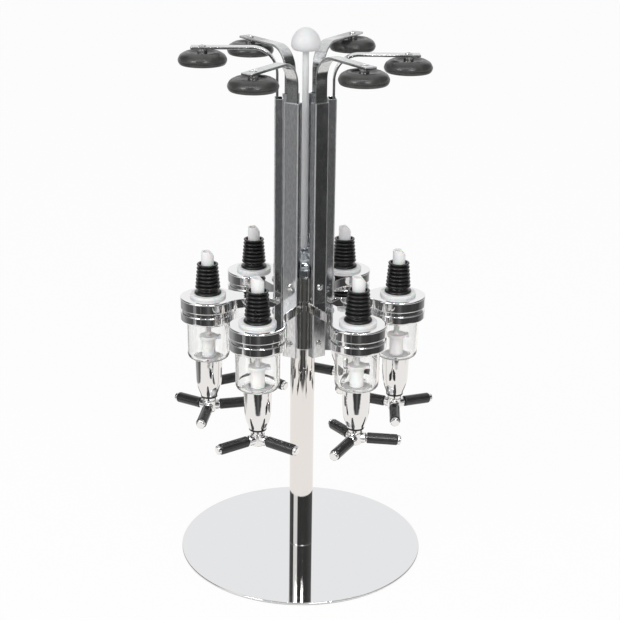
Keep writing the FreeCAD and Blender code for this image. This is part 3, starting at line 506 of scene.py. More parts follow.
# Each: its colour, the dusty colour, the roughness, the grain's size and depth.
pad_rubber = black("pad_rubber", (0.042, 0.042, 0.041), (0.060, 0.060, 0.058), 0.24, 0.5, 0.010)
cork_rubber = black("cork_rubber", (0.009, 0.009, 0.009), (0.020, 0.020, 0.020), 0.24, 0.4, 0.012)
mat_rubber = black("mat_rubber", (0.015, 0.015, 0.015), (0.03, 0.03, 0.03), 0.6, 0.8, 0.05)
grip_plastic = black("grip_plastic", (0.024, 0.024, 0.025), (0.034, 0.034, 0.034), 0.12, 1.5, 0.004)
seal_plastic = black("seal_plastic", (0.004, 0.004, 0.004), (0.008, 0.008, 0.008), 0.30, 0.6, 0.005)


# %% White and clear finishes
CLOUD_SIZE, CLOUD_ROUGH, DIMPLE_SIZE, DIMPLE_DEPTH = 7, 0.12, 2.5, 0.012
HAZE_SIZE, HAZED, CLEAR_ROUGH, HAZE_ROUGH, FLOW_SIZE, FLOW_DEPTH = 11, (0.5, 0.85), 0.01, 0.04, 9, 0.06


def white(name, colour, shade, rough):
    """A pale plastic with a faint cloudiness, lit a little from within."""
    finish = Finish(name, colour, IOR=1.48, Subsurface_Weight=0.2, Subsurface_Scale=2 * MM)
    cloud = finish.grain(CLOUD_SIZE, ALL_WAYS, 2.0)
    finish.cloudy(cloud, colour, shade)
    finish.set("Roughness", rough + CLOUD_ROUGH * cloud)
    finish.bump(finish.grain(DIMPLE_SIZE), DIMPLE_DEPTH)
    return finish.material


def clear(name):
    """Clear moulded plastic; its shadow rays go straight through, so that what stands inside is lit."""
    finish = Finish(name, (0.995, 0.995, 0.99), IOR=1.49, Transmission_Weight=1.0)
    haze = finish.grain(HAZE_SIZE, (1, 1, 2), 2.0)
    finish.set("Roughness", CLEAR_ROUGH + HAZE_ROUGH * finish.between(*HAZED, haze))
    finish.bump(finish.grain(FLOW_SIZE, ALL_WAYS, 1.0), FLOW_DEPTH)
    through = finish.node("ShaderNodeBsdfTransparent", None, {"Color": (0.96, 0.965, 0.97, 1.0)})
    shader = Value(finish, finish.shader.outputs["BSDF"])
    finish.show(finish.mix(finish.ray("Is Shadow Ray"), shader, through))
    return finish.material


knob_plastic = white("knob_plastic", (0.755, 0.765, 0.77), (0.73, 0.74, 0.748), 0.30)
tube_plastic = white("tube_plastic", (0.94, 0.935, 0.92), (0.90, 0.89, 0.875), 0.28)
seat_plastic = white("seat_plastic", (0.93, 0.93, 0.93), (0.89, 0.89, 0.89), 0.22)
chamber_plastic = clear("chamber_plastic")
print("finishes made:", len(bpy.data.materials))

# %% [markdown]
# ## The stand
# A sheet-steel disc with a rolled upper edge lies on a thin rubber mat, and a tube stands in its middle. All
# three are turned pieces. A lathe profile needs few corners, and the rounding does the rest. The screw and
# the plug that hold the tube can't be seen from outside, so the frame's own solids stay.

# %% Base, mat, pole and the ring that carries the hub
FIT, POLE_WALL, PLATE_HOLE, PLATE_CONE, PLATE_BACK, PLATE_UP = 0.05, 1.5, 6.05, 2.0, 0.2, 0.4

mat_bottom, mat_top, mat_radius = on_axis("base_mat")
mat = made("mat", lathe([
    (0, mat_bottom), (mat_radius, mat_bottom, 0.3), (mat_radius, mat_top, 0.2), (0, mat_top)],
    columns=WIDE), mat_rubber, "stand", "black_rubber", "base_mat")

plate_bottom, plate_top, plate_radius = on_axis("base_disc")
plate = made("base_plate", lathe([
    (PLATE_HOLE, plate_bottom), (plate_radius - PLATE_BACK, plate_bottom, 0.15),
    (plate_radius, plate_bottom + PLATE_UP, 0.2), (plate_radius, plate_top, 1.1),
    (PLATE_HOLE - PLATE_CONE, plate_top)],
    ring=True, columns=WIDE), plate_steel, "stand", "mirror_steel", "base_disc")

pole_bottom, pole_top, pole_radius = on_axis("center_pole")
pole = made("pole", lathe([
    (pole_radius - POLE_WALL, pole_bottom), (pole_radius, pole_bottom, 0.8), (pole_radius, pole_top, 0.3),
    (pole_radius - POLE_WALL, pole_top, 0.3)],
    ring=True, columns=WIDE), pole_steel, "stand", "mirror_steel", "center_pole")

seat_bottom, seat_top, seat_radius = on_axis("hub_seat_ring")
seat = made("hub_seat", lathe([
    (pole_radius + FIT, seat_bottom), (seat_radius, seat_bottom, 0.7), (seat_radius, seat_top, 0.9),
    (pole_radius + FIT, seat_top)], ring=True), rod_steel, "stand", "mirror_steel", "hub_seat_ring")
for node in ("base_screw", "pole_plug"):
    finish_node(node, screw_steel)
print("stand:", mat.name, plate.name, pole.name, seat.name)

# %% [markdown]
# ## Hub, cap, lifting rod and knob
# The hub's six flats are hidden behind the rails, so the frame's own solid stays and only takes a finish.
# The cap is a dull dome with a rim. The knob is a mushroom: a small cheek below its widest line, and above it
# half an ellipse, whose radius at the share s of the dome's height is R sqrt(1 - s^2).

# %% The middle of the rotor
finish_node("hub_sleeve", hub_plating)

rod_bottom, rod_top, rod_radius = on_axis("lift_rod")
made("lifting_rod", lathe([
    (0, rod_bottom), (rod_radius, rod_bottom, 0.3), (rod_radius, rod_top, 0.3), (0, rod_top)]),
    rod_painted_white_reflection, "rotor", "mirror_steel", "lift_rod")

cap_bottom, cap_top, cap_radius = on_axis("dome_cap")
CAP_RIM, NECK_RADIUS, NECK_HEIGHT = 8.0, 5.2, 4.0
LEDGE_BACK, LEDGE_UP, DOME_BACK, DOME_UP = 0.9, 0.4, 1.1, 7    # from the rim's top edge
rim_top = cap_bottom + CAP_RIM
made("hub_cap", lathe([
    (rod_radius + FIT, cap_bottom), (cap_radius, cap_bottom, 0.5), (cap_radius, rim_top, 0.8),
    (cap_radius - LEDGE_BACK, rim_top + LEDGE_UP, 0.4), (cap_radius - DOME_BACK, rim_top + DOME_UP, 6),
    (NECK_RADIUS, cap_top - NECK_HEIGHT, 1.5), (NECK_RADIUS, cap_top, 0.8), (rod_radius + FIT, cap_top, 0.2)],
    ring=True, steps=10), cap_metal, "rotor", "plated_plastic", "dome_cap")

KNOB_FOOT, KNOB_BELLY, KNOB_BORE, DOME_ROWS, CHEEK_ROWS = 10.5, 5.6, 12.0, 28, 14
_, knob_top, knob_radius = on_axis("lift_knob")
knob_bottom = rod_top - KNOB_BORE
rise = np.sin(np.linspace(0, np.pi / 2, DOME_ROWS))
dome = joined(knob_radius * np.sqrt(np.maximum(1 - rise**2, 0)),
              knob_bottom + KNOB_BELLY + (knob_top - knob_bottom - KNOB_BELLY) * rise)
dome[-1, 0] = 0
drop = np.linspace(-np.pi / 2, 0, CHEEK_ROWS)[:-1]
cheek = joined(KNOB_FOOT + (knob_radius - KNOB_FOOT) * np.cos(drop),
               knob_bottom + KNOB_BELLY * (1 + np.sin(drop)))
knob = skin(turned(np.concatenate([[[0, knob_bottom]], cheek, dome])))
made("knob", knob, knob_plastic, "rotor", "white_plastic", "lift_knob")
print("knob:", round(knob_top - knob_bottom, 1), "mm tall")

# %% [markdown]
# ## Rails
# A rail is a rectangular tube. Its outline is a rounded rectangle, and its profile runs up the outer wall,
# over the rim and down the inner wall, so the mouth is really open and shows its wall's thickness. Two screws
# hold it to the hub; their heads are pan heads with a cross recess, pressed in by a height formula.

# %% Six rails
rail_low, rail_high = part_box("rail_1")
rail_inner, rail_outer, rail_half = rail_low.x / MM, rail_high.x / MM, rail_high.y / MM
RAIL_CORNER, RAIL_WALL, RAIL_RIM = 1.2, 1.0, 0.25
RUBBED_FROM = 0.02    # a corner's wear starts this far outside the flats, in millimetres
rail_outline = oblong(rail_inner, rail_outer, rail_half, RAIL_CORNER, RAIL_CORNER)
rail_bottom, rail_top = heights("rail_1")
rail_profile = rounded([
    (0, rail_bottom, RAIL_RIM), (0, rail_top, RAIL_RIM), (RAIL_WALL, rail_top, RAIL_RIM),
    (RAIL_WALL, rail_bottom, RAIL_RIM)], steps=3)
rail_tube = extruded(rail_outline, rail_profile, ring=True)
x, y = rail_tube[0][:, 0] / MM, np.abs(rail_tube[0][:, 1]) / MM
beyond_flats = np.maximum(x - rail_outer, rail_inner - x) + RAIL_CORNER
rubbed = (np.minimum(beyond_flats, y - rail_half + RAIL_CORNER) > RUBBED_FROM).astype(np.float32)
for k in STATIONS:
    rail = at_station(rail_tube, k)
    tube = made(f"rail_tube_{k}", rail, rail_steel, "rotor", "mirror_steel", f"rail_{k}")
    tube.data.attributes.new("worn", "FLOAT", "POINT").data.foreach_set("value", rubbed)
print("rails:", round(rail_top - rail_bottom), "mm long")


# %% Pan heads with a cross recess
SLOT_WIDTH, SLOT_DEPTH, SLOT_WALL, SLOT_END = 0.8, 0.9, 0.2, 0.25
HEAD_RIM, HEAD_ROWS, HEAD_ROUND = 0.6, 20, 64


def recess(x, y, span):
    """How deep a cross recess lies at (x, y): two slots, span long, whose walls slope a little."""
    def slot(along, off):
        inside = np.clip((span / 2 - abs(along)) / SLOT_END, 0, 1)
        return inside * np.clip((SLOT_WIDTH / 2 - abs(off)) / SLOT_WALL, 0, 1)
    return SLOT_DEPTH * np.maximum(slot(x, y), slot(y, x))


def screw_head(radius, crown):
    """A pan head on the plane z = 0: a rim, a crown z = rim + crown (1 - (r / radius)^2), and a recess."""
    share = np.linspace(0, 1, HEAD_ROWS)[::-1]
    angle = np.linspace(0, 2 * np.pi, HEAD_ROUND, endpoint=False)
    r = (radius * share)[:, None]
    x, y = r * np.cos(angle), r * np.sin(angle)
    z = HEAD_RIM + crown * (1 - (r / radius) ** 2) - recess(x, y, span=radius)
    return skin(np.concatenate([joined(x[0], y[0], 0)[None], joined(x, y, z)]) * MM)


RAIL_SCREW, RAIL_CROWN = 3.4, 1.3    # a rail screw's head: its radius and how far it is domed
screws_low, screws_high = heights("rail_screws")
screw_heights = (screws_low + RAIL_SCREW, screws_high - RAIL_SCREW)
on_rail = [moved(screw_head(RAIL_SCREW, RAIL_CROWN), shift(rail_outer, height) @ spun(90, "Y"))
           for height in screw_heights]
for k in STATIONS:
    heads = [at_station(head, k) for head in on_rail]
    made(f"rail_screw_heads_{k}", merged(heads), screw_steel, "rotor", "bare_steel", "rail_screws")
print("screws at", [round(height, 1) for height in screw_heights], "mm")

# %% [markdown]
# ## Arms
# An arm is a flat bar, bent once. The outline of its section is carried along the path: straight up, a
# quarter circle, straight out. Each arm was pushed down to its own height and turned a little in its rail,
# and both are read back from the frame: the pad's middle gives the turn, and the arm's box the heights.

# %% Where each arm and pad is
ARM_WIDTH, ARM_THICK, ARM_BEND, ARM_END, ARM_PLAY, ARM_EDGE = 12.4, 2.5, 24.0, 11.3, 0.5, 0.7
leg_radius = rail_outer - RAIL_WALL - ARM_PLAY - ARM_THICK / 2
pad_low, pad_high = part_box("bottle_pad_1")
PAD_RADIUS = (pad_high.y - pad_low.y) / 2 / MM


def pad_centre(k):
    low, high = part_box(f"bottle_pad_{k}")
    return Vector(((low.x + high.x) / 2, (low.y + high.y) / 2, 0)) / MM


def arm_line(k):
    """The line from an arm's leg to its pad: its length, and how many degrees it is off its station's."""
    angle = math.radians(azimuth(k))
    out = pad_centre(k) - Vector((math.cos(angle), math.sin(angle), 0)) * leg_radius
    off = math.degrees(math.atan2(out.y, out.x)) - azimuth(k)
    return out.length, (off + 180) % 360 - 180


BEND_ROWS, END_EDGE, NEAR_BEND = 25, 0.5, 1    # rows in the bend, rounded end, a row just outside the bend


def arm_path(foot, top, end):
    """The bar's middle line: straight up, a quarter circle of the radius ARM_BEND, straight out. It gives
    the rows' spots, the vectors across and aside of the line, and the insets that round the two ends."""
    straight = top - ARM_BEND
    t = np.linspace(0, np.pi / 2, BEND_ROWS)
    x = np.concatenate([np.zeros(4), ARM_BEND * (1 - np.cos(t)),
                        [ARM_BEND + NEAR_BEND, end - END_EDGE, end - END_EDGE / 3, end]])
    z = np.concatenate([[foot, foot + END_EDGE / 3, foot + END_EDGE, straight - NEAR_BEND],
                        straight + ARM_BEND * np.sin(t), np.full(4, top)])
    tilt = np.concatenate([np.zeros(4), t, np.full(4, np.pi / 2)])
    insets = np.concatenate([[END_EDGE, END_EDGE / 3], np.zeros(len(x) - 4), [END_EDGE / 3, END_EDGE]])
    return joined(x, 0, z), joined(np.cos(tilt), 0, -np.sin(tilt)), [[0, 1, 0]], insets


half_thick = ARM_THICK / 2
bar_outline = oblong(-half_thick, half_thick, ARM_WIDTH / 2, ARM_EDGE, ARM_EDGE, steps=4)
for k in STATIONS:
    foot, top = heights(f"arm_bar_{k}")
    length, turn = arm_line(k)
    bar = skin(swept(bar_outline, *arm_path(foot, top - half_thick, length + ARM_END)))
    bar = at_station(bar, k, leg_radius, turn)
    made(f"arm_{k}", bar, arm_steel, f"arm_{k}", "mirror_steel", f"arm_bar_{k}")
print("arm turns:", [round(arm_line(k)[1], 1) for k in STATIONS])

# %% [markdown]
# ## Pads and their bolts
# A pad is moulded rubber: a flat foot, a fat rolled rim, a raised ring and a dished middle that the spacer
# stands in. One profile of eleven corners gives it, with long set-backs where the rubber bulges. The bolt's
# head shows on the arm, and its spacer between the arm and the pad.

# %% Six pads with their bolts
PAD_CREST, PAD_EYE, PAD_DROP, PAD_HOLLOW, HOLLOW_DEEP = 14.5, 8.5, 2.2, 17.0, 1.7
BOLT_HEAD, BOLT_CROWN, SPACER_RADIUS, BOLT_TURN = 3.6, 0.6, 5.0, 20


def pad_profile(thick, radius):
    """A pad's corners, from the middle of its foot round the outside to the middle of its top."""
    eye = thick - PAD_DROP
    return [
        (0, 2.0), (PAD_HOLLOW - 2, HOLLOW_DEEP, 1.4), (PAD_HOLLOW, 0, 1.2),    # the hollow under it
        (radius - 2.2, 0, 1.2), (radius, 3.0, 2.4),    # the flat foot and its edge
        (radius - 0.4, 7.6, 3.4), (radius - 4.9, thick - 0.9, 3.6),    # the fat rolled rim
        (PAD_CREST, thick + 0.1, 2.6),    # the raised ring
        (PAD_EYE + 2, eye, 1.6), (PAD_EYE, eye, 0.3), (0, eye)]    # the dished middle


for k in STATIONS:
    bottom, pad_top = heights(f"bottle_pad_{k}")
    bar_top = heights(f"arm_bar_{k}")[1]
    beside = Matrix.Translation(pad_centre(k) * MM)
    rubber = moved(lathe(pad_profile(pad_top - bottom, PAD_RADIUS), steps=8), shift(z=bottom))
    made(f"pad_{k}", moved(rubber, beside), pad_rubber, f"arm_{k}", "black_rubber", f"bottle_pad_{k}")

    eye, under = pad_top - PAD_DROP, bar_top - ARM_THICK
    on_bar = beside @ shift(z=bar_top) @ spun(azimuth(k) + BOLT_TURN * k)
    spacer = lathe([(0, eye), (SPACER_RADIUS, eye, 0.4), (SPACER_RADIUS, under, 0.2), (0, under)])
    bolt = merged([moved(screw_head(BOLT_HEAD, BOLT_CROWN), on_bar), moved(spacer, beside)])
    made(f"pad_bolt_and_spacer_{k}", bolt, screw_steel, f"arm_{k}", "bare_steel", f"pad_bolt_{k}")
print("pads:", round(PAD_RADIUS, 1), "mm in radius")

# %% [markdown]
# ## Measures: the collar
# The collar is a plated moulding: a flat top with a rolled edge, a band, a groove, and a neck that flares out
# of the band and holds the rail. The round body is turned, the neck is an outline stood up with soft edges,
# and a Boolean union welds the two. It is welded once and then copied to the six stations.

# %% The collar's round body
spigot_bottom, collar_top = heights("measure_collar_1")
BAND, GROOVE, GROOVE_DEPTH, COLLAR_PLATE = 11.3, 4.0, 1.4, 5.0
SPIGOT_OUT, SPIGOT_IN, SPOUT_RADIUS = 24.6, 22.2, 6.4
band_bottom = collar_top - BAND
groove_bottom = band_bottom - GROOVE
groove_radius = COLLAR_RADIUS - GROOVE_DEPTH
collar_body = lathe([
    (SPOUT_RADIUS + FIT, collar_top - COLLAR_PLATE, 0.2), (SPIGOT_IN, collar_top - COLLAR_PLATE, 0.3),
    (SPIGOT_IN, spigot_bottom, 0.2), (SPIGOT_OUT, spigot_bottom, 0.2), (SPIGOT_OUT, groove_bottom + FIT),
    (groove_radius, groove_bottom + FIT, 0.1), (groove_radius, band_bottom, 0.3),
    (COLLAR_RADIUS, band_bottom, 1.0), (COLLAR_RADIUS, collar_top, 2.0),
    (SPOUT_RADIUS + FIT, collar_top, 0.2)], ring=True, columns=FINE)

# %% Its neck, and the weld
NECK_BACK, NECK_HALF, NECK_FLARE, NECK_TALL, POCKET_HALF = 22.4, 10.0, 30.0, 9.8, 7.8
NECK_BEVEL, FLARE_ROWS, FLARE_START = (1.6, 0.8), 14, 0.02
ROOT_X, ROOT_SHARE = -18.0, 0.9    # where the neck's plan ends, inside the round body
neck_back = NECK_BACK - RING
flare_x = -math.sqrt((COLLAR_RADIUS + NECK_FLARE) ** 2 - (NECK_HALF + NECK_FLARE) ** 2)
flare_end = math.atan2(NECK_HALF + NECK_FLARE, -flare_x)
swing = np.linspace(np.pi / 2 - FLARE_START, flare_end, FLARE_ROWS)
flare = joined(flare_x + NECK_FLARE * np.cos(swing), NECK_HALF + NECK_FLARE * (1 - np.sin(swing)))
corner = [[neck_back, NECK_HALF - NECK_BEVEL[1]], [neck_back + NECK_BEVEL[0], NECK_HALF]]
half_plan = np.concatenate([corner, flare, [[ROOT_X, flare[-1, 1] * ROOT_SHARE]]])
pocket = np.array([[neck_back, POCKET_HALF], [rail_outer - RING + FIT, POCKET_HALF]])
mirrored = [1, -1]
neck_plan = np.concatenate([half_plan * mirrored, half_plan[::-1], pocket, pocket[::-1] * mirrored])
neck_profile = soft_ends(collar_top - NECK_TALL, collar_top, inset=0.6, back=0.5)
collar_and_neck = welded([collar_body, extruded(neck_plan, neck_profile)])
for k in STATIONS:
    collar = made(f"collar_{k}", at_station(collar_and_neck, k, RING), plating, "rotor", "plated_plastic",
                  f"measure_collar_{k}")
print("collar faces:", len(collar.data.polygons))

# %% [markdown]
# ## Clamp ring and chamber
# These are turned pieces again. The chamber's wall is given a thickness, because clear plastic shows both of
# its faces: the dark lines down its sides are where the eye looks along the wall.

# %% Clamp ring and chamber
clamp_bottom, clamp_top = heights("clamp_rings")
CHAMBER_RADIUS, CHAMBER_WALL, CHAMBER_FLOOR, CLAMP_LIP, TUBE_RADIUS = 22.1, 2.0, 3.0, 2.6, 7.0
CLAMP_TAPER, CLAMP_EDGE = (1.5, 0.1), (1.6, 2.6)    # how far its foot is cut back, and up to what heights
ledge = clamp_bottom + CLAMP_LIP
clamp_ring = lathe([
    (CHAMBER_RADIUS + FIT, clamp_bottom, 0.2), (COLLAR_RADIUS - CLAMP_TAPER[0], clamp_bottom, 0.4),
    (COLLAR_RADIUS - CLAMP_TAPER[1], clamp_bottom + CLAMP_EDGE[0], 0.5),
    (COLLAR_RADIUS, clamp_bottom + CLAMP_EDGE[1], 0.5), (COLLAR_RADIUS, clamp_top, 0.9),
    (SPIGOT_OUT + FIT, clamp_top, 0.2), (SPIGOT_OUT + FIT, ledge), (CHAMBER_RADIUS + FIT, ledge, 0.1)],
    ring=True, columns=FINE)

FOOT_RADIUS, FOOT_SIDE, FOOT_TALL = 14.4, 15.0, 0.9
BELLY_TAPER, BELLY_LOW, BELLY_ROUND, FLOOR_ROUND = 0.5, 1.1, 5.8, 5.0
chamber_bottom, chamber_top = heights("shot_chambers")
chamber_inside = CHAMBER_RADIUS - CHAMBER_WALL
floor_top = chamber_bottom + CHAMBER_FLOOR
chamber_cup = lathe([
    (TUBE_RADIUS + FIT, chamber_bottom), (FOOT_RADIUS, chamber_bottom, 0.5),
    (FOOT_SIDE, chamber_bottom + FOOT_TALL, 0.6),
    (CHAMBER_RADIUS - BELLY_TAPER, chamber_bottom + BELLY_LOW, BELLY_ROUND),
    (CHAMBER_RADIUS, ledge, 0.2), (SPIGOT_OUT, ledge, 0.2), (SPIGOT_OUT, chamber_top, 0.2),
    (chamber_inside, chamber_top, 0.2), (chamber_inside, floor_top, FLOOR_ROUND),
    (TUBE_RADIUS + FIT, floor_top)], ring=True, steps=10)
print("chamber:", round(chamber_top - chamber_bottom, 1), "mm tall")

# %% [markdown]
# ## Valve tube and spout
# In the chamber stands a white tube with a flange and a wing. Above it, on a thin stem, is the spout: a disc
# that the bottle's mouth rests over, and a pipe that runs up through the cork and ends in a slanted cut. The
# cut is a plane, so the pipe is turned first, and then all rows of its tip are pressed down in proportion:
# where the plane lies lower, the rows move closer together, and none of them meet.

# %% The tube with its wing
tube_bottom, spout_top = heights("valve_tubes")
FLANGE_RISE, FLANGE_TALL, FLANGE_RADIUS, WING_END, WING_HALF = 24.9, 3.4, 9.3, 12.5, 4.2
TUBE_BORE, STEM_RADIUS, STEM_BORE, STEM_LENGTH, TUBE_WEB = 4.9, 2.8, 1.4, 19.0, 1.6
WING_ROOT, WING_STEP = 1.4, 0.1    # how deep it starts in the tube, and how far it stays within the flange
flange_top = chamber_bottom + FLANGE_RISE
flange_low = flange_top - FLANGE_TALL
shoulder = flange_top + STEM_LENGTH
tube_body = lathe([
    (TUBE_BORE, tube_bottom), (TUBE_RADIUS, tube_bottom), (TUBE_RADIUS, flange_low, 0.6),
    (FLANGE_RADIUS, flange_low, 0.5), (FLANGE_RADIUS, flange_top, 0.5), (STEM_RADIUS, flange_top, 0.5),
    (STEM_RADIUS, shoulder + TUBE_WEB), (STEM_BORE, shoulder + TUBE_WEB), (STEM_BORE, flange_top - TUBE_WEB),
    (TUBE_BORE, flange_top - TUBE_WEB, 0.3)], ring=True, columns=SLIM)
wing_outline = oblong(TUBE_RADIUS - WING_ROOT, WING_END, WING_HALF, inner=1.0, outer=2.0)
wing_profile = soft_ends(flange_low + WING_STEP, flange_top - WING_STEP, inset=0.5, back=0.4)
winged_tube = welded([tube_body, extruded(wing_outline, wing_profile)])

# %% The spout with its slanted tip
seat_low, seat_high = collar_top, heights("rubber_corks")[0]
BOTTLE_SEAT, TIP_DROP, TIP_OFFSET, TIP_ROOM = 18.3, 4.8, 1.6, 6.0
spout_grid = turned(rounded([
    (STEM_RADIUS + FIT, shoulder), (SPOUT_RADIUS, shoulder, 0.4), (SPOUT_RADIUS, seat_low),
    (BOTTLE_SEAT, seat_low, 0.2), (BOTTLE_SEAT, seat_high, 0.8), (SPOUT_RADIUS, seat_high, 0.2),
    (SPOUT_RADIUS, spout_top - TIP_ROOM), (SPOUT_RADIUS, spout_top, 0.5), (TUBE_BORE, spout_top, 0.3),
    (TUBE_BORE, spout_top - TIP_ROOM), (TUBE_BORE, shoulder + TUBE_WEB, 0.3),
    (STEM_RADIUS + FIT, shoulder + TUBE_WEB)]), SLIM)


def slanted(grid):
    """Press the tip's rows under the plane z = top - drop (x - offset) / (radius - offset)."""
    x, z = grid[..., 0] / MM, grid[..., 2] / MM
    root = spout_top - TIP_ROOM
    plane = spout_top - TIP_DROP * np.clip((x - TIP_OFFSET) / (SPOUT_RADIUS - TIP_OFFSET), 0, 1)
    pressed = root + (z - root) * (plane - root) / TIP_ROOM
    return joined(grid[..., 0], grid[..., 1], np.where(z > root, pressed, z) * MM)


spout = skin(slanted(spout_grid), ring=True)
for k in STATIONS:
    back = -azimuth(k)    # tube and spout look towards +X at every station
    for name, part, material in (("valve_tube", winged_tube, tube_plastic), ("spout", spout, seat_plastic)):
        placed = at_station(part, k, RING, back)
        made(f"{name}_{k}", placed, material, "rotor", "white_plastic", "valve_tubes")
print("spout ends at", round(spout_top, 1), "mm")

# %% [markdown]
# ## Cork, nozzle and mouth ring
# The cork's ribs are one row of corners, repeated: a deep valley, a round crest and a shoulder that falls
# back, each rib a little smaller than the one below. Its flange is widest near the seat. The nozzle is a
# chrome cup that curves in to its mouth, where a black ring seals it.

# %% Cork
cork_bottom, cork_top = heights("rubber_corks")
RIBS, RIB_DEPTH, CORK_FLANGE, CORK_FLANGE_TALL, CORK_FOOT, CORK_HEAD = 7, 2.8, 13.9, 5.0, 12.9, 10.9
RIB_VALLEY, RIB_CREST, RIB_SHOULDER, RIB_END = 0.06, 0.44, 0.78, 0.75    # shares of a rib's pitch
RIB_FALL = 0.4    # how far a rib's shoulder falls back from its crest
FLANGE_LOW, FLANGE_BELLY, FLANGE_HIGH = (0.5, 1.0), (0.8, 2.4), 3.6    # how far cut back, and how high
HEAD_CUT, HEAD_LIP, HEAD_DISH = 0.2, (2.4, 2.8), 2.2
ribs_bottom = cork_bottom + CORK_FLANGE_TALL
pitch = (cork_top - ribs_bottom) / (RIBS - 1 + RIB_END)
cork_hole = SPOUT_RADIUS + FIT
cork_corners = [
    (cork_hole, cork_bottom), (CORK_FLANGE - FLANGE_LOW[0], cork_bottom, 0.4),
    (CORK_FLANGE, cork_bottom + FLANGE_LOW[1], 0.5),
    (CORK_FLANGE - FLANGE_BELLY[0], cork_bottom + FLANGE_BELLY[1], 0.8),
    (CORK_FOOT - RIB_DEPTH, cork_bottom + FLANGE_HIGH, 0.8)]
for rib in range(RIBS):
    crest = CORK_FOOT - (CORK_FOOT - CORK_HEAD) * rib / (RIBS - 1)
    foot = ribs_bottom + pitch * rib
    cork_corners += [
        (crest - RIB_DEPTH, foot + RIB_VALLEY * pitch, 0.3), (crest, foot + RIB_CREST * pitch, 0.6),
        (crest - RIB_FALL, foot + RIB_SHOULDER * pitch, 0.6)]
cork_corners[-1] = (CORK_HEAD - HEAD_CUT, cork_top, 0.7)
cork_corners += [
    (CORK_HEAD - HEAD_LIP[0], cork_top, 0.4), (CORK_HEAD - HEAD_LIP[1], cork_top - HEAD_DISH, 0.4),
    (cork_hole, cork_top - HEAD_DISH)]
ribbed_cork = lathe(cork_corners, ring=True, steps=5)

# %% Nozzle and mouth ring
nozzle_bottom, nozzle_top = heights("nozzles")
NOZZLE_RADIUS, NOZZLE_MOUTH, NOZZLE_CAVITY, GUIDE_RADIUS, ROD_HOLE = 14.0, 8.7, 9.0, 7.07, 2.47
GUIDE_LENGTH, TUBE_SOCKET, NOZZLE_WEB = 6.5, 5.5, 4.0
LIP_OUT, LIP_TALL, CHEEK_RADIUS, CHEEK_HEIGHT, CHEEK_ROUND = 0.5, 2.0, 13.0, 11.5, 6.5
socket_bottom = nozzle_top - TUBE_SOCKET
web_bottom = socket_bottom - NOZZLE_WEB
nozzle_cup = lathe([
    (GUIDE_RADIUS, nozzle_bottom), (NOZZLE_MOUTH, nozzle_bottom, 0.3),
    (NOZZLE_MOUTH + LIP_OUT, nozzle_bottom + LIP_TALL, 0.8),
    (CHEEK_RADIUS, nozzle_bottom + CHEEK_HEIGHT, CHEEK_ROUND), (NOZZLE_RADIUS, nozzle_top, 0.4),
    (TUBE_RADIUS + FIT, nozzle_top, 0.1), (TUBE_RADIUS + FIT, socket_bottom), (ROD_HOLE, socket_bottom),
    (ROD_HOLE, web_bottom), (NOZZLE_CAVITY, web_bottom), (NOZZLE_CAVITY, nozzle_bottom + GUIDE_LENGTH + FIT),
    (GUIDE_RADIUS, nozzle_bottom + GUIDE_LENGTH)], ring=True, steps=12)

mouth_bottom, mouth_top = heights("mouth_rings")
SEAL_INSIDE = 7.35
mouth_ring = lathe([
    (SEAL_INSIDE, mouth_bottom, 0.2), (NOZZLE_MOUTH, mouth_bottom, 0.9), (NOZZLE_MOUTH, mouth_top, 0.2),
    (SEAL_INSIDE, mouth_top)], ring=True)

# %% All the turned pieces at their stations
TURNED = (
    ("clamp_ring", clamp_ring, plating, "plated_plastic", "clamp_rings"),
    ("chamber", chamber_cup, chamber_plastic, "clear_plastic", "shot_chambers"),
    ("cork", ribbed_cork, cork_rubber, "black_rubber", "rubber_corks"),
    ("nozzle", nozzle_cup, nozzle_plating, "plated_plastic", "nozzles"),
    ("mouth_ring", mouth_ring, seal_plastic, "black_plastic", "mouth_rings"),
)
for k in STATIONS:
    for name, part, material, slot, node in TURNED:
        made(f"{name}_{k}", at_station(part, k, RING), material, "rotor", slot, node)
finish_node("return_springs", spring_steel)
print("turned pieces:", len(TURNED) * len(STATIONS))

# %% [markdown]
# ## Plungers with their levers
# A plunger carries three levers that droop outwards. Each lever is turned on its own axis, tipped down, and
# set round the plunger every 120 degrees. How far each plunger has turned in its nozzle is chance. It is
# read back from its grips: every vertex at the angle a adds exp(3 i a), and the sum's angle is three times
# the turn.

# %% Plunger, levers and grips
LEVER_COUNT = 3
PLUNGER_BOTTOM, PLUNGER_TOP, PLUNGER_RADIUS, ROD_RADIUS = 158.2, 184.5, 7.0, 2.4
VALVE_RADIUS, VALVE_TALL = 4.5, 6.0
MARK_RADIUS, MARK_HEIGHTS = 6.5, (170.9, 171.2, 171.8, 172.1)    # a fine groove round the plunger
LEVER_HEIGHT, DROOP, LEVER_REACH, LEVER_ROD, LEVER_TIP, TIP_EDGE = 165.2, 3.8, 45.8, 2.8, 4.7, 0.9
GRIP_START, GRIP_END, GRIP_RADIUS = 11.6, 42.3, 5.5
GRIP_BACK, GRIP_BEVEL = 0.7, 0.8    # how far a grip's ends are cut back, and over what length
KNUCKLE, KNUCKLE_START, KNUCKLE_END, NECK_WIDER, NECK_OUT, ROD_FROM = 5.4, 1.0, 9.6, 1.2, 11.0, 11.2
valve_end = heights("lever_spider_1")[1]
valve_low = valve_end - VALVE_TALL
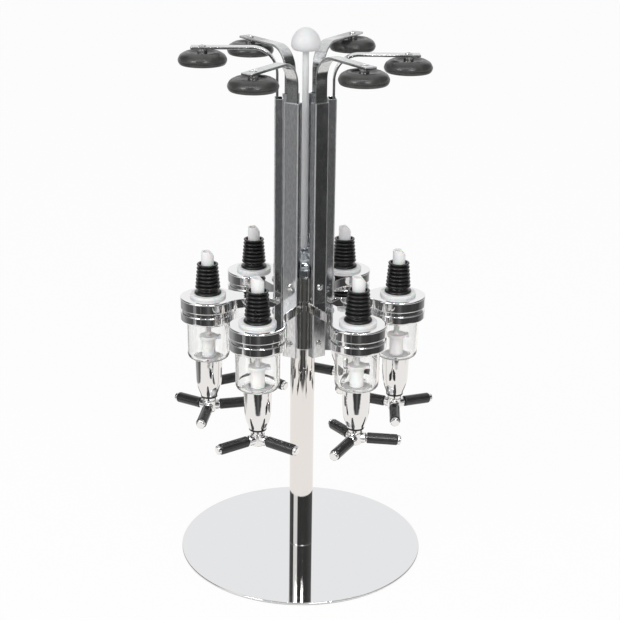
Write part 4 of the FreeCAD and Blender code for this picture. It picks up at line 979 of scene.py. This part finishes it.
plunger_stem = lathe([
    (0, PLUNGER_BOTTOM), (PLUNGER_RADIUS, PLUNGER_BOTTOM, 2.6), (PLUNGER_RADIUS, MARK_HEIGHTS[0], 0.2),
    (MARK_RADIUS, MARK_HEIGHTS[1], 0.2), (MARK_RADIUS, MARK_HEIGHTS[2], 0.2),
    (PLUNGER_RADIUS, MARK_HEIGHTS[3], 0.3), (PLUNGER_RADIUS, PLUNGER_TOP, 0.3),
    (ROD_RADIUS, PLUNGER_TOP, 0.1), (ROD_RADIUS, valve_low), (VALVE_RADIUS, valve_low, 0.4),
    (VALVE_RADIUS, valve_end, 0.6), (0, valve_end)], columns=SLIM)
lever_body = lathe([
    (0, KNUCKLE_START), (KNUCKLE, KNUCKLE_START), (KNUCKLE, KNUCKLE_END, 0.9),
    (LEVER_ROD + NECK_WIDER, NECK_OUT, 0.3), (LEVER_ROD, ROD_FROM), (LEVER_ROD, GRIP_END + FIT, 0.05),
    (LEVER_TIP, GRIP_END + FIT, 0.3), (LEVER_TIP, LEVER_REACH - TIP_EDGE, 0.5),
    (LEVER_TIP - TIP_EDGE, LEVER_REACH, 0.5), (0, LEVER_REACH)], columns=LEVER_ROUND)
grip_body = lathe([
    (LEVER_ROD + FIT, GRIP_START, 0.1), (GRIP_RADIUS - GRIP_BACK, GRIP_START, 0.25),
    (GRIP_RADIUS, GRIP_START + GRIP_BEVEL, 0.4), (GRIP_RADIUS, GRIP_END - GRIP_BEVEL, 0.4),
    (GRIP_RADIUS - GRIP_BACK, GRIP_END, 0.25), (LEVER_ROD + FIT, GRIP_END, 0.1)],
    ring=True, columns=GRIP_ROUND)
outwards = shift(z=LEVER_HEIGHT) @ spun(90 + DROOP, "Y")
around = [spun(j * 360 / LEVER_COUNT) @ outwards for j in range(LEVER_COUNT)]
spider = welded([plunger_stem] + [moved(lever_body, place) for place in around])
grips = merged([moved(grip_body, place) for place in around])


def lever_turn(k):
    """Degrees from the station's outward line to a lever of its plunger."""
    angle = math.radians(azimuth(k))
    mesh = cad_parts[f"lever_grips_{k}"].data
    spots = np.empty(len(mesh.vertices) * 3)
    mesh.vertices.foreach_get("co", spots)
    spots = spots.reshape(-1, 3)[:, :2] - RING * MM * np.array([math.cos(angle), math.sin(angle)])
    turns = np.exp(1j * LEVER_COUNT * np.arctan2(spots[:, 1], spots[:, 0])).sum()
    return math.degrees(np.angle(turns)) / LEVER_COUNT - azimuth(k)


for k in STATIONS:
    turned_spider, turned_grips = (at_station(part, k, RING, lever_turn(k)) for part in (spider, grips))
    made(f"plunger_and_levers_{k}", turned_spider, lever_chrome, f"plunger_{k}", "mirror_steel",
         f"lever_spider_{k}")
    made(f"grips_{k}", turned_grips, grip_plastic, f"plunger_{k}", "black_plastic", f"lever_grips_{k}")
print("lever turns:", [round(lever_turn(k) % 120, 1) for k in STATIONS])

# %% [markdown]
# ## The camera
# The camera stands in front and looks down by 20 degrees through a long lens, so the pole stays nearly
# upright in the picture. The stand is turned a few degrees on its floor, which is the same as walking the
# camera round it by that angle the other way.

# %% Camera
STAND_TURN = 3.272
CAMERA_PLACE = (-0.00023, -1.38244, 0.77305)
YAW, PITCH, ROLL = 0.303, 20.01, 0.723
FOCAL_PIXELS, FRAME_PIXELS, SENSOR = 1436.84, 620, 36.0

lens = bpy.data.cameras.new("camera")
lens.sensor_fit, lens.sensor_width = "HORIZONTAL", SENSOR
lens.lens = SENSOR * FOCAL_PIXELS / FRAME_PIXELS
lens.clip_end = 50.0
camera = bpy.data.objects.new("camera", lens)
round_stand = spun(-STAND_TURN)
aim = spun(-YAW) @ spun(90 - PITCH, "X") @ spun(ROLL)
camera.matrix_world = round_stand @ Matrix.Translation(CAMERA_PLACE) @ aim
bpy.context.scene.collection.objects.link(camera)
bpy.context.scene.camera = camera
front = (round_stand @ Vector((0, -1, 0))).normalized()
print("lens:", round(lens.lens, 1), "mm")

# %% [markdown]
# ## A table for the chrome
# The stand is on a white table in front of a white wall, and the rest of the room is dark. Upright chrome
# seen from above looks down and past the table's edge into the dark, so the bands go black; level chrome
# looks up at the wall and stays white. The table is a plane that the camera sees as white everywhere, but
# that reflections see only as far as its edges.

# %% The table
TABLE_FRONT, TABLE_BACK, TABLE_LEFT, TABLE_RIGHT = 0.45, 0.80, 0.47, 0.60    # metres from the pole
FRONT_SLANT, LEFT_SLANT, EDGE_SOFT, RIGHT_SOFT, LEFT_SOFT = 0.07, 0.4, 0.02, 0.04, 0.03
TABLE_PLANE, TABLE_DROP = 12.0, 0.0003    # metres: the plane's size, and the gap that keeps it off the mat
TABLE_WHITE = 0.94    # how much of what the camera sees of the table is plain white; the rest is lit
CLOTH_WHITE, WARM_WHITE, PLAIN_WHITE = (0.93, 0.93, 0.93, 1), (0.97, 0.945, 0.92, 1), (1, 1, 1, 1)

bpy.ops.mesh.primitive_plane_add(size=TABLE_PLANE, location=(0, 0, -TABLE_DROP))
table = bpy.context.object
table.name = "table"


def toward_and_right(graph, vector):
    """A vector's parts towards the camera's side, to the camera's right, and up."""
    x, y, z = split(graph, vector)
    return x * front.x + y * front.y, x * -front.y + y * front.x, z


def mirrored_ray(graph):
    """1 for a ray that has met a mirror on its way and wasn't scattered by its last surface."""
    return graph.once("Glossy Depth") * (1 - graph.ray("Is Diffuse Ray"))


paint = bpy.data.materials.new("white_table")
paint.use_nodes = True
graph = Graph(paint.node_tree)
toward, right, _ = toward_and_right(graph, graph.node("ShaderNodeTexCoord", output="Object"))
on_table = 1
for edge, soft, along in ((TABLE_FRONT, EDGE_SOFT, toward + FRONT_SLANT * right),
                          (TABLE_BACK, EDGE_SOFT, 0 - toward), (TABLE_RIGHT, RIGHT_SOFT, right),
                          (TABLE_LEFT, LEFT_SOFT, 0 - right - LEFT_SLANT * toward)):
    on_table = on_table * (1 - graph.between(edge - soft, edge + soft, along))
cloth = graph.node("ShaderNodeBsdfDiffuse", None, {"Color": CLOTH_WHITE})
glow = graph.node("ShaderNodeEmission", None, {"Color": PLAIN_WHITE, "Strength": 1.0})
warm = graph.node("ShaderNodeEmission", None, {"Color": WARM_WHITE, "Strength": 1.0})
gone = graph.node("ShaderNodeBsdfTransparent")
seen = graph.maths("MAXIMUM", graph.ray("Is Camera Ray"), graph.ray("Is Transmission Ray"))
lit = graph.mix(seen * TABLE_WHITE, cloth, glow)
reflected = graph.mix(on_table, gone, warm)
graph.show(graph.mix(mirrored_ray(graph), lit, reflected))
table.data.materials.append(paint)

# %% [markdown]
# ## The room, by direction
# The room is painted on the world, by direction, for reflections only. Directions are a bearing, 0 at the
# camera and positive to its right, and an elevation. Below the horizon a list of grey levels says how bright
# the room is at each bearing, with fine streaks; the steel's flat sides each look at one of them. Above the
# horizon it is dark too, with one tall window to the left. The wall behind and the ceiling are white, and a
# bright band lies along the horizon: it draws the light lines on rounded edges.
#
# For all other rays the world is plain white. What dull surfaces gather from it is dimmed, or white plastic
# would clip and lose its form. A ray that leaves a dull surface through clear plastic counts as transmitted
# and not as diffuse, so what stands in the chambers is told by its Diffuse Depth, and is dimmed less.

# %% The world
LOW_ROOM = [
    (-180, 1.0), (-152, 1.0), (-144, 0.42), (-113, 0.33), (-95, 0.16), (-75, 0.10), (-62, 0.10), (-58, 0.27),
    (-49, 0.27), (-44, 0.07), (-31, 0.05), (-27, 0.13), (-23, 0.04), (-8, 0.05), (0, 0.09), (9, 0.12),
    (16, 0.06), (40, 0.045), (66, 0.055), (90, 0.05), (112, 0.16), (126, 0.27), (142, 0.40), (152, 1.0),
    (180, 1.0)]
HIGH_ROOM = [
    (-180, 1.0), (-152, 1.0), (-140, 0.12), (-80, 0.06), (-76, 1.0), (-37, 1.0), (-33, 0.05), (60, 0.05),
    (140, 0.12), (152, 1.0), (180, 1.0)]
HORIZON, HIGH_END, CEILING = 7, 44, 60    # elevations in degrees
HORIZON_LEVEL, STREAKS, STREAK_LOW, STREAK_MORE = 0.85, 14.0, 0.35, 1.3
DIM_ALWAYS, DIM_OPEN = 0.30, 0.16    # the share that dull surfaces lose: everywhere, and more in the open

room = bpy.data.worlds.new("room")
room.use_nodes = True
bpy.context.scene.world = room
graph = Graph(room.node_tree)
toward, right, up = toward_and_right(graph, graph.node("ShaderNodeTexCoord", output="Generated"))
bearing = graph.maths("ARCTAN2", right, toward)
turn_share = bearing * (0.5 / math.pi) + 0.5


def levels(stops):
    """A ramp over the bearing from (degrees, level) stops."""
    places = [(degrees / 360 + 0.5, level) for degrees, level in stops]
    return graph.node("ShaderNodeValToRGB", {"stops": places}, {0: turn_share})


def over(elevation, soft=2.0):
    """0 below an elevation in degrees and 1 above it."""
    low, high = (math.sin(math.radians(angle)) for angle in (elevation - soft, elevation + soft))
    return graph.between(low, high, up)


def blend(factor, first, second):
    """A number between two numbers."""
    return first * (1 - factor) + second * factor


streaks = graph.node("ShaderNodeTexNoise", {"noise_dimensions": "1D"},
                     {"W": bearing * STREAKS, "Scale": 1.0, "Detail": 3.0, "Roughness": 0.7})
low = levels(LOW_ROOM) * (STREAK_LOW + STREAK_MORE * streaks)
level = blend(over(-HORIZON), low, HORIZON_LEVEL)
level = blend(over(HORIZON), level, levels(HIGH_ROOM))
level = blend(over((HIGH_END + CEILING) / 2, (CEILING - HIGH_END) / 2), level, 1.0)
scattered = graph.once("Diffuse Depth")
plain = 1 - scattered * (DIM_ALWAYS + DIM_OPEN * graph.ray("Is Diffuse Ray"))
strength = blend(mirrored_ray(graph), plain, level)
background = graph.tree.nodes["Background"]
graph.feed(background.inputs["Color"], PLAIN_WHITE)
graph.feed(background.inputs["Strength"], strength)

# %% [markdown]
# ## Lamps
# Two soft boxes stand in front, one to each side and about 30 degrees up, for small highlights on the satin
# pads. They are dim, because brighter ones make the white plastic clip. A long narrow strip hangs in front
# and higher up, for thin lines of light along the grips.

# %% Lamps
LAMP_TARGET = 0.35    # metres: the height that all lamps look at


def lamp(name, bearing_degrees, distance, height, width, tall, watts):
    """A soft box at a bearing from the camera's side, that looks at the middle of the stand."""
    data = bpy.data.lights.new(name, "AREA")
    data.shape, data.size, data.size_y, data.energy = "RECTANGLE", width, tall, watts
    box = bpy.data.objects.new(name, data)
    angle = math.radians(bearing_degrees)
    spot = round_stand @ Vector((distance * math.sin(angle), -distance * math.cos(angle), height))
    box.location = spot
    box.rotation_euler = (Vector((0, 0, LAMP_TARGET)) - spot).to_track_quat("-Z", "Y").to_euler()
    bpy.context.scene.collection.objects.link(box)


for side, bearing_degrees in (("left", -45), ("front", 17)):
    lamp(f"box_{side}", bearing_degrees, distance=1.7, height=1.30, width=0.55, tall=0.38, watts=7.5)
lamp("strip_above", 0, distance=1.0, height=1.6, width=1.6, tall=0.015, watts=5.0)

bpy.context.scene.view_settings.view_transform = "Standard"
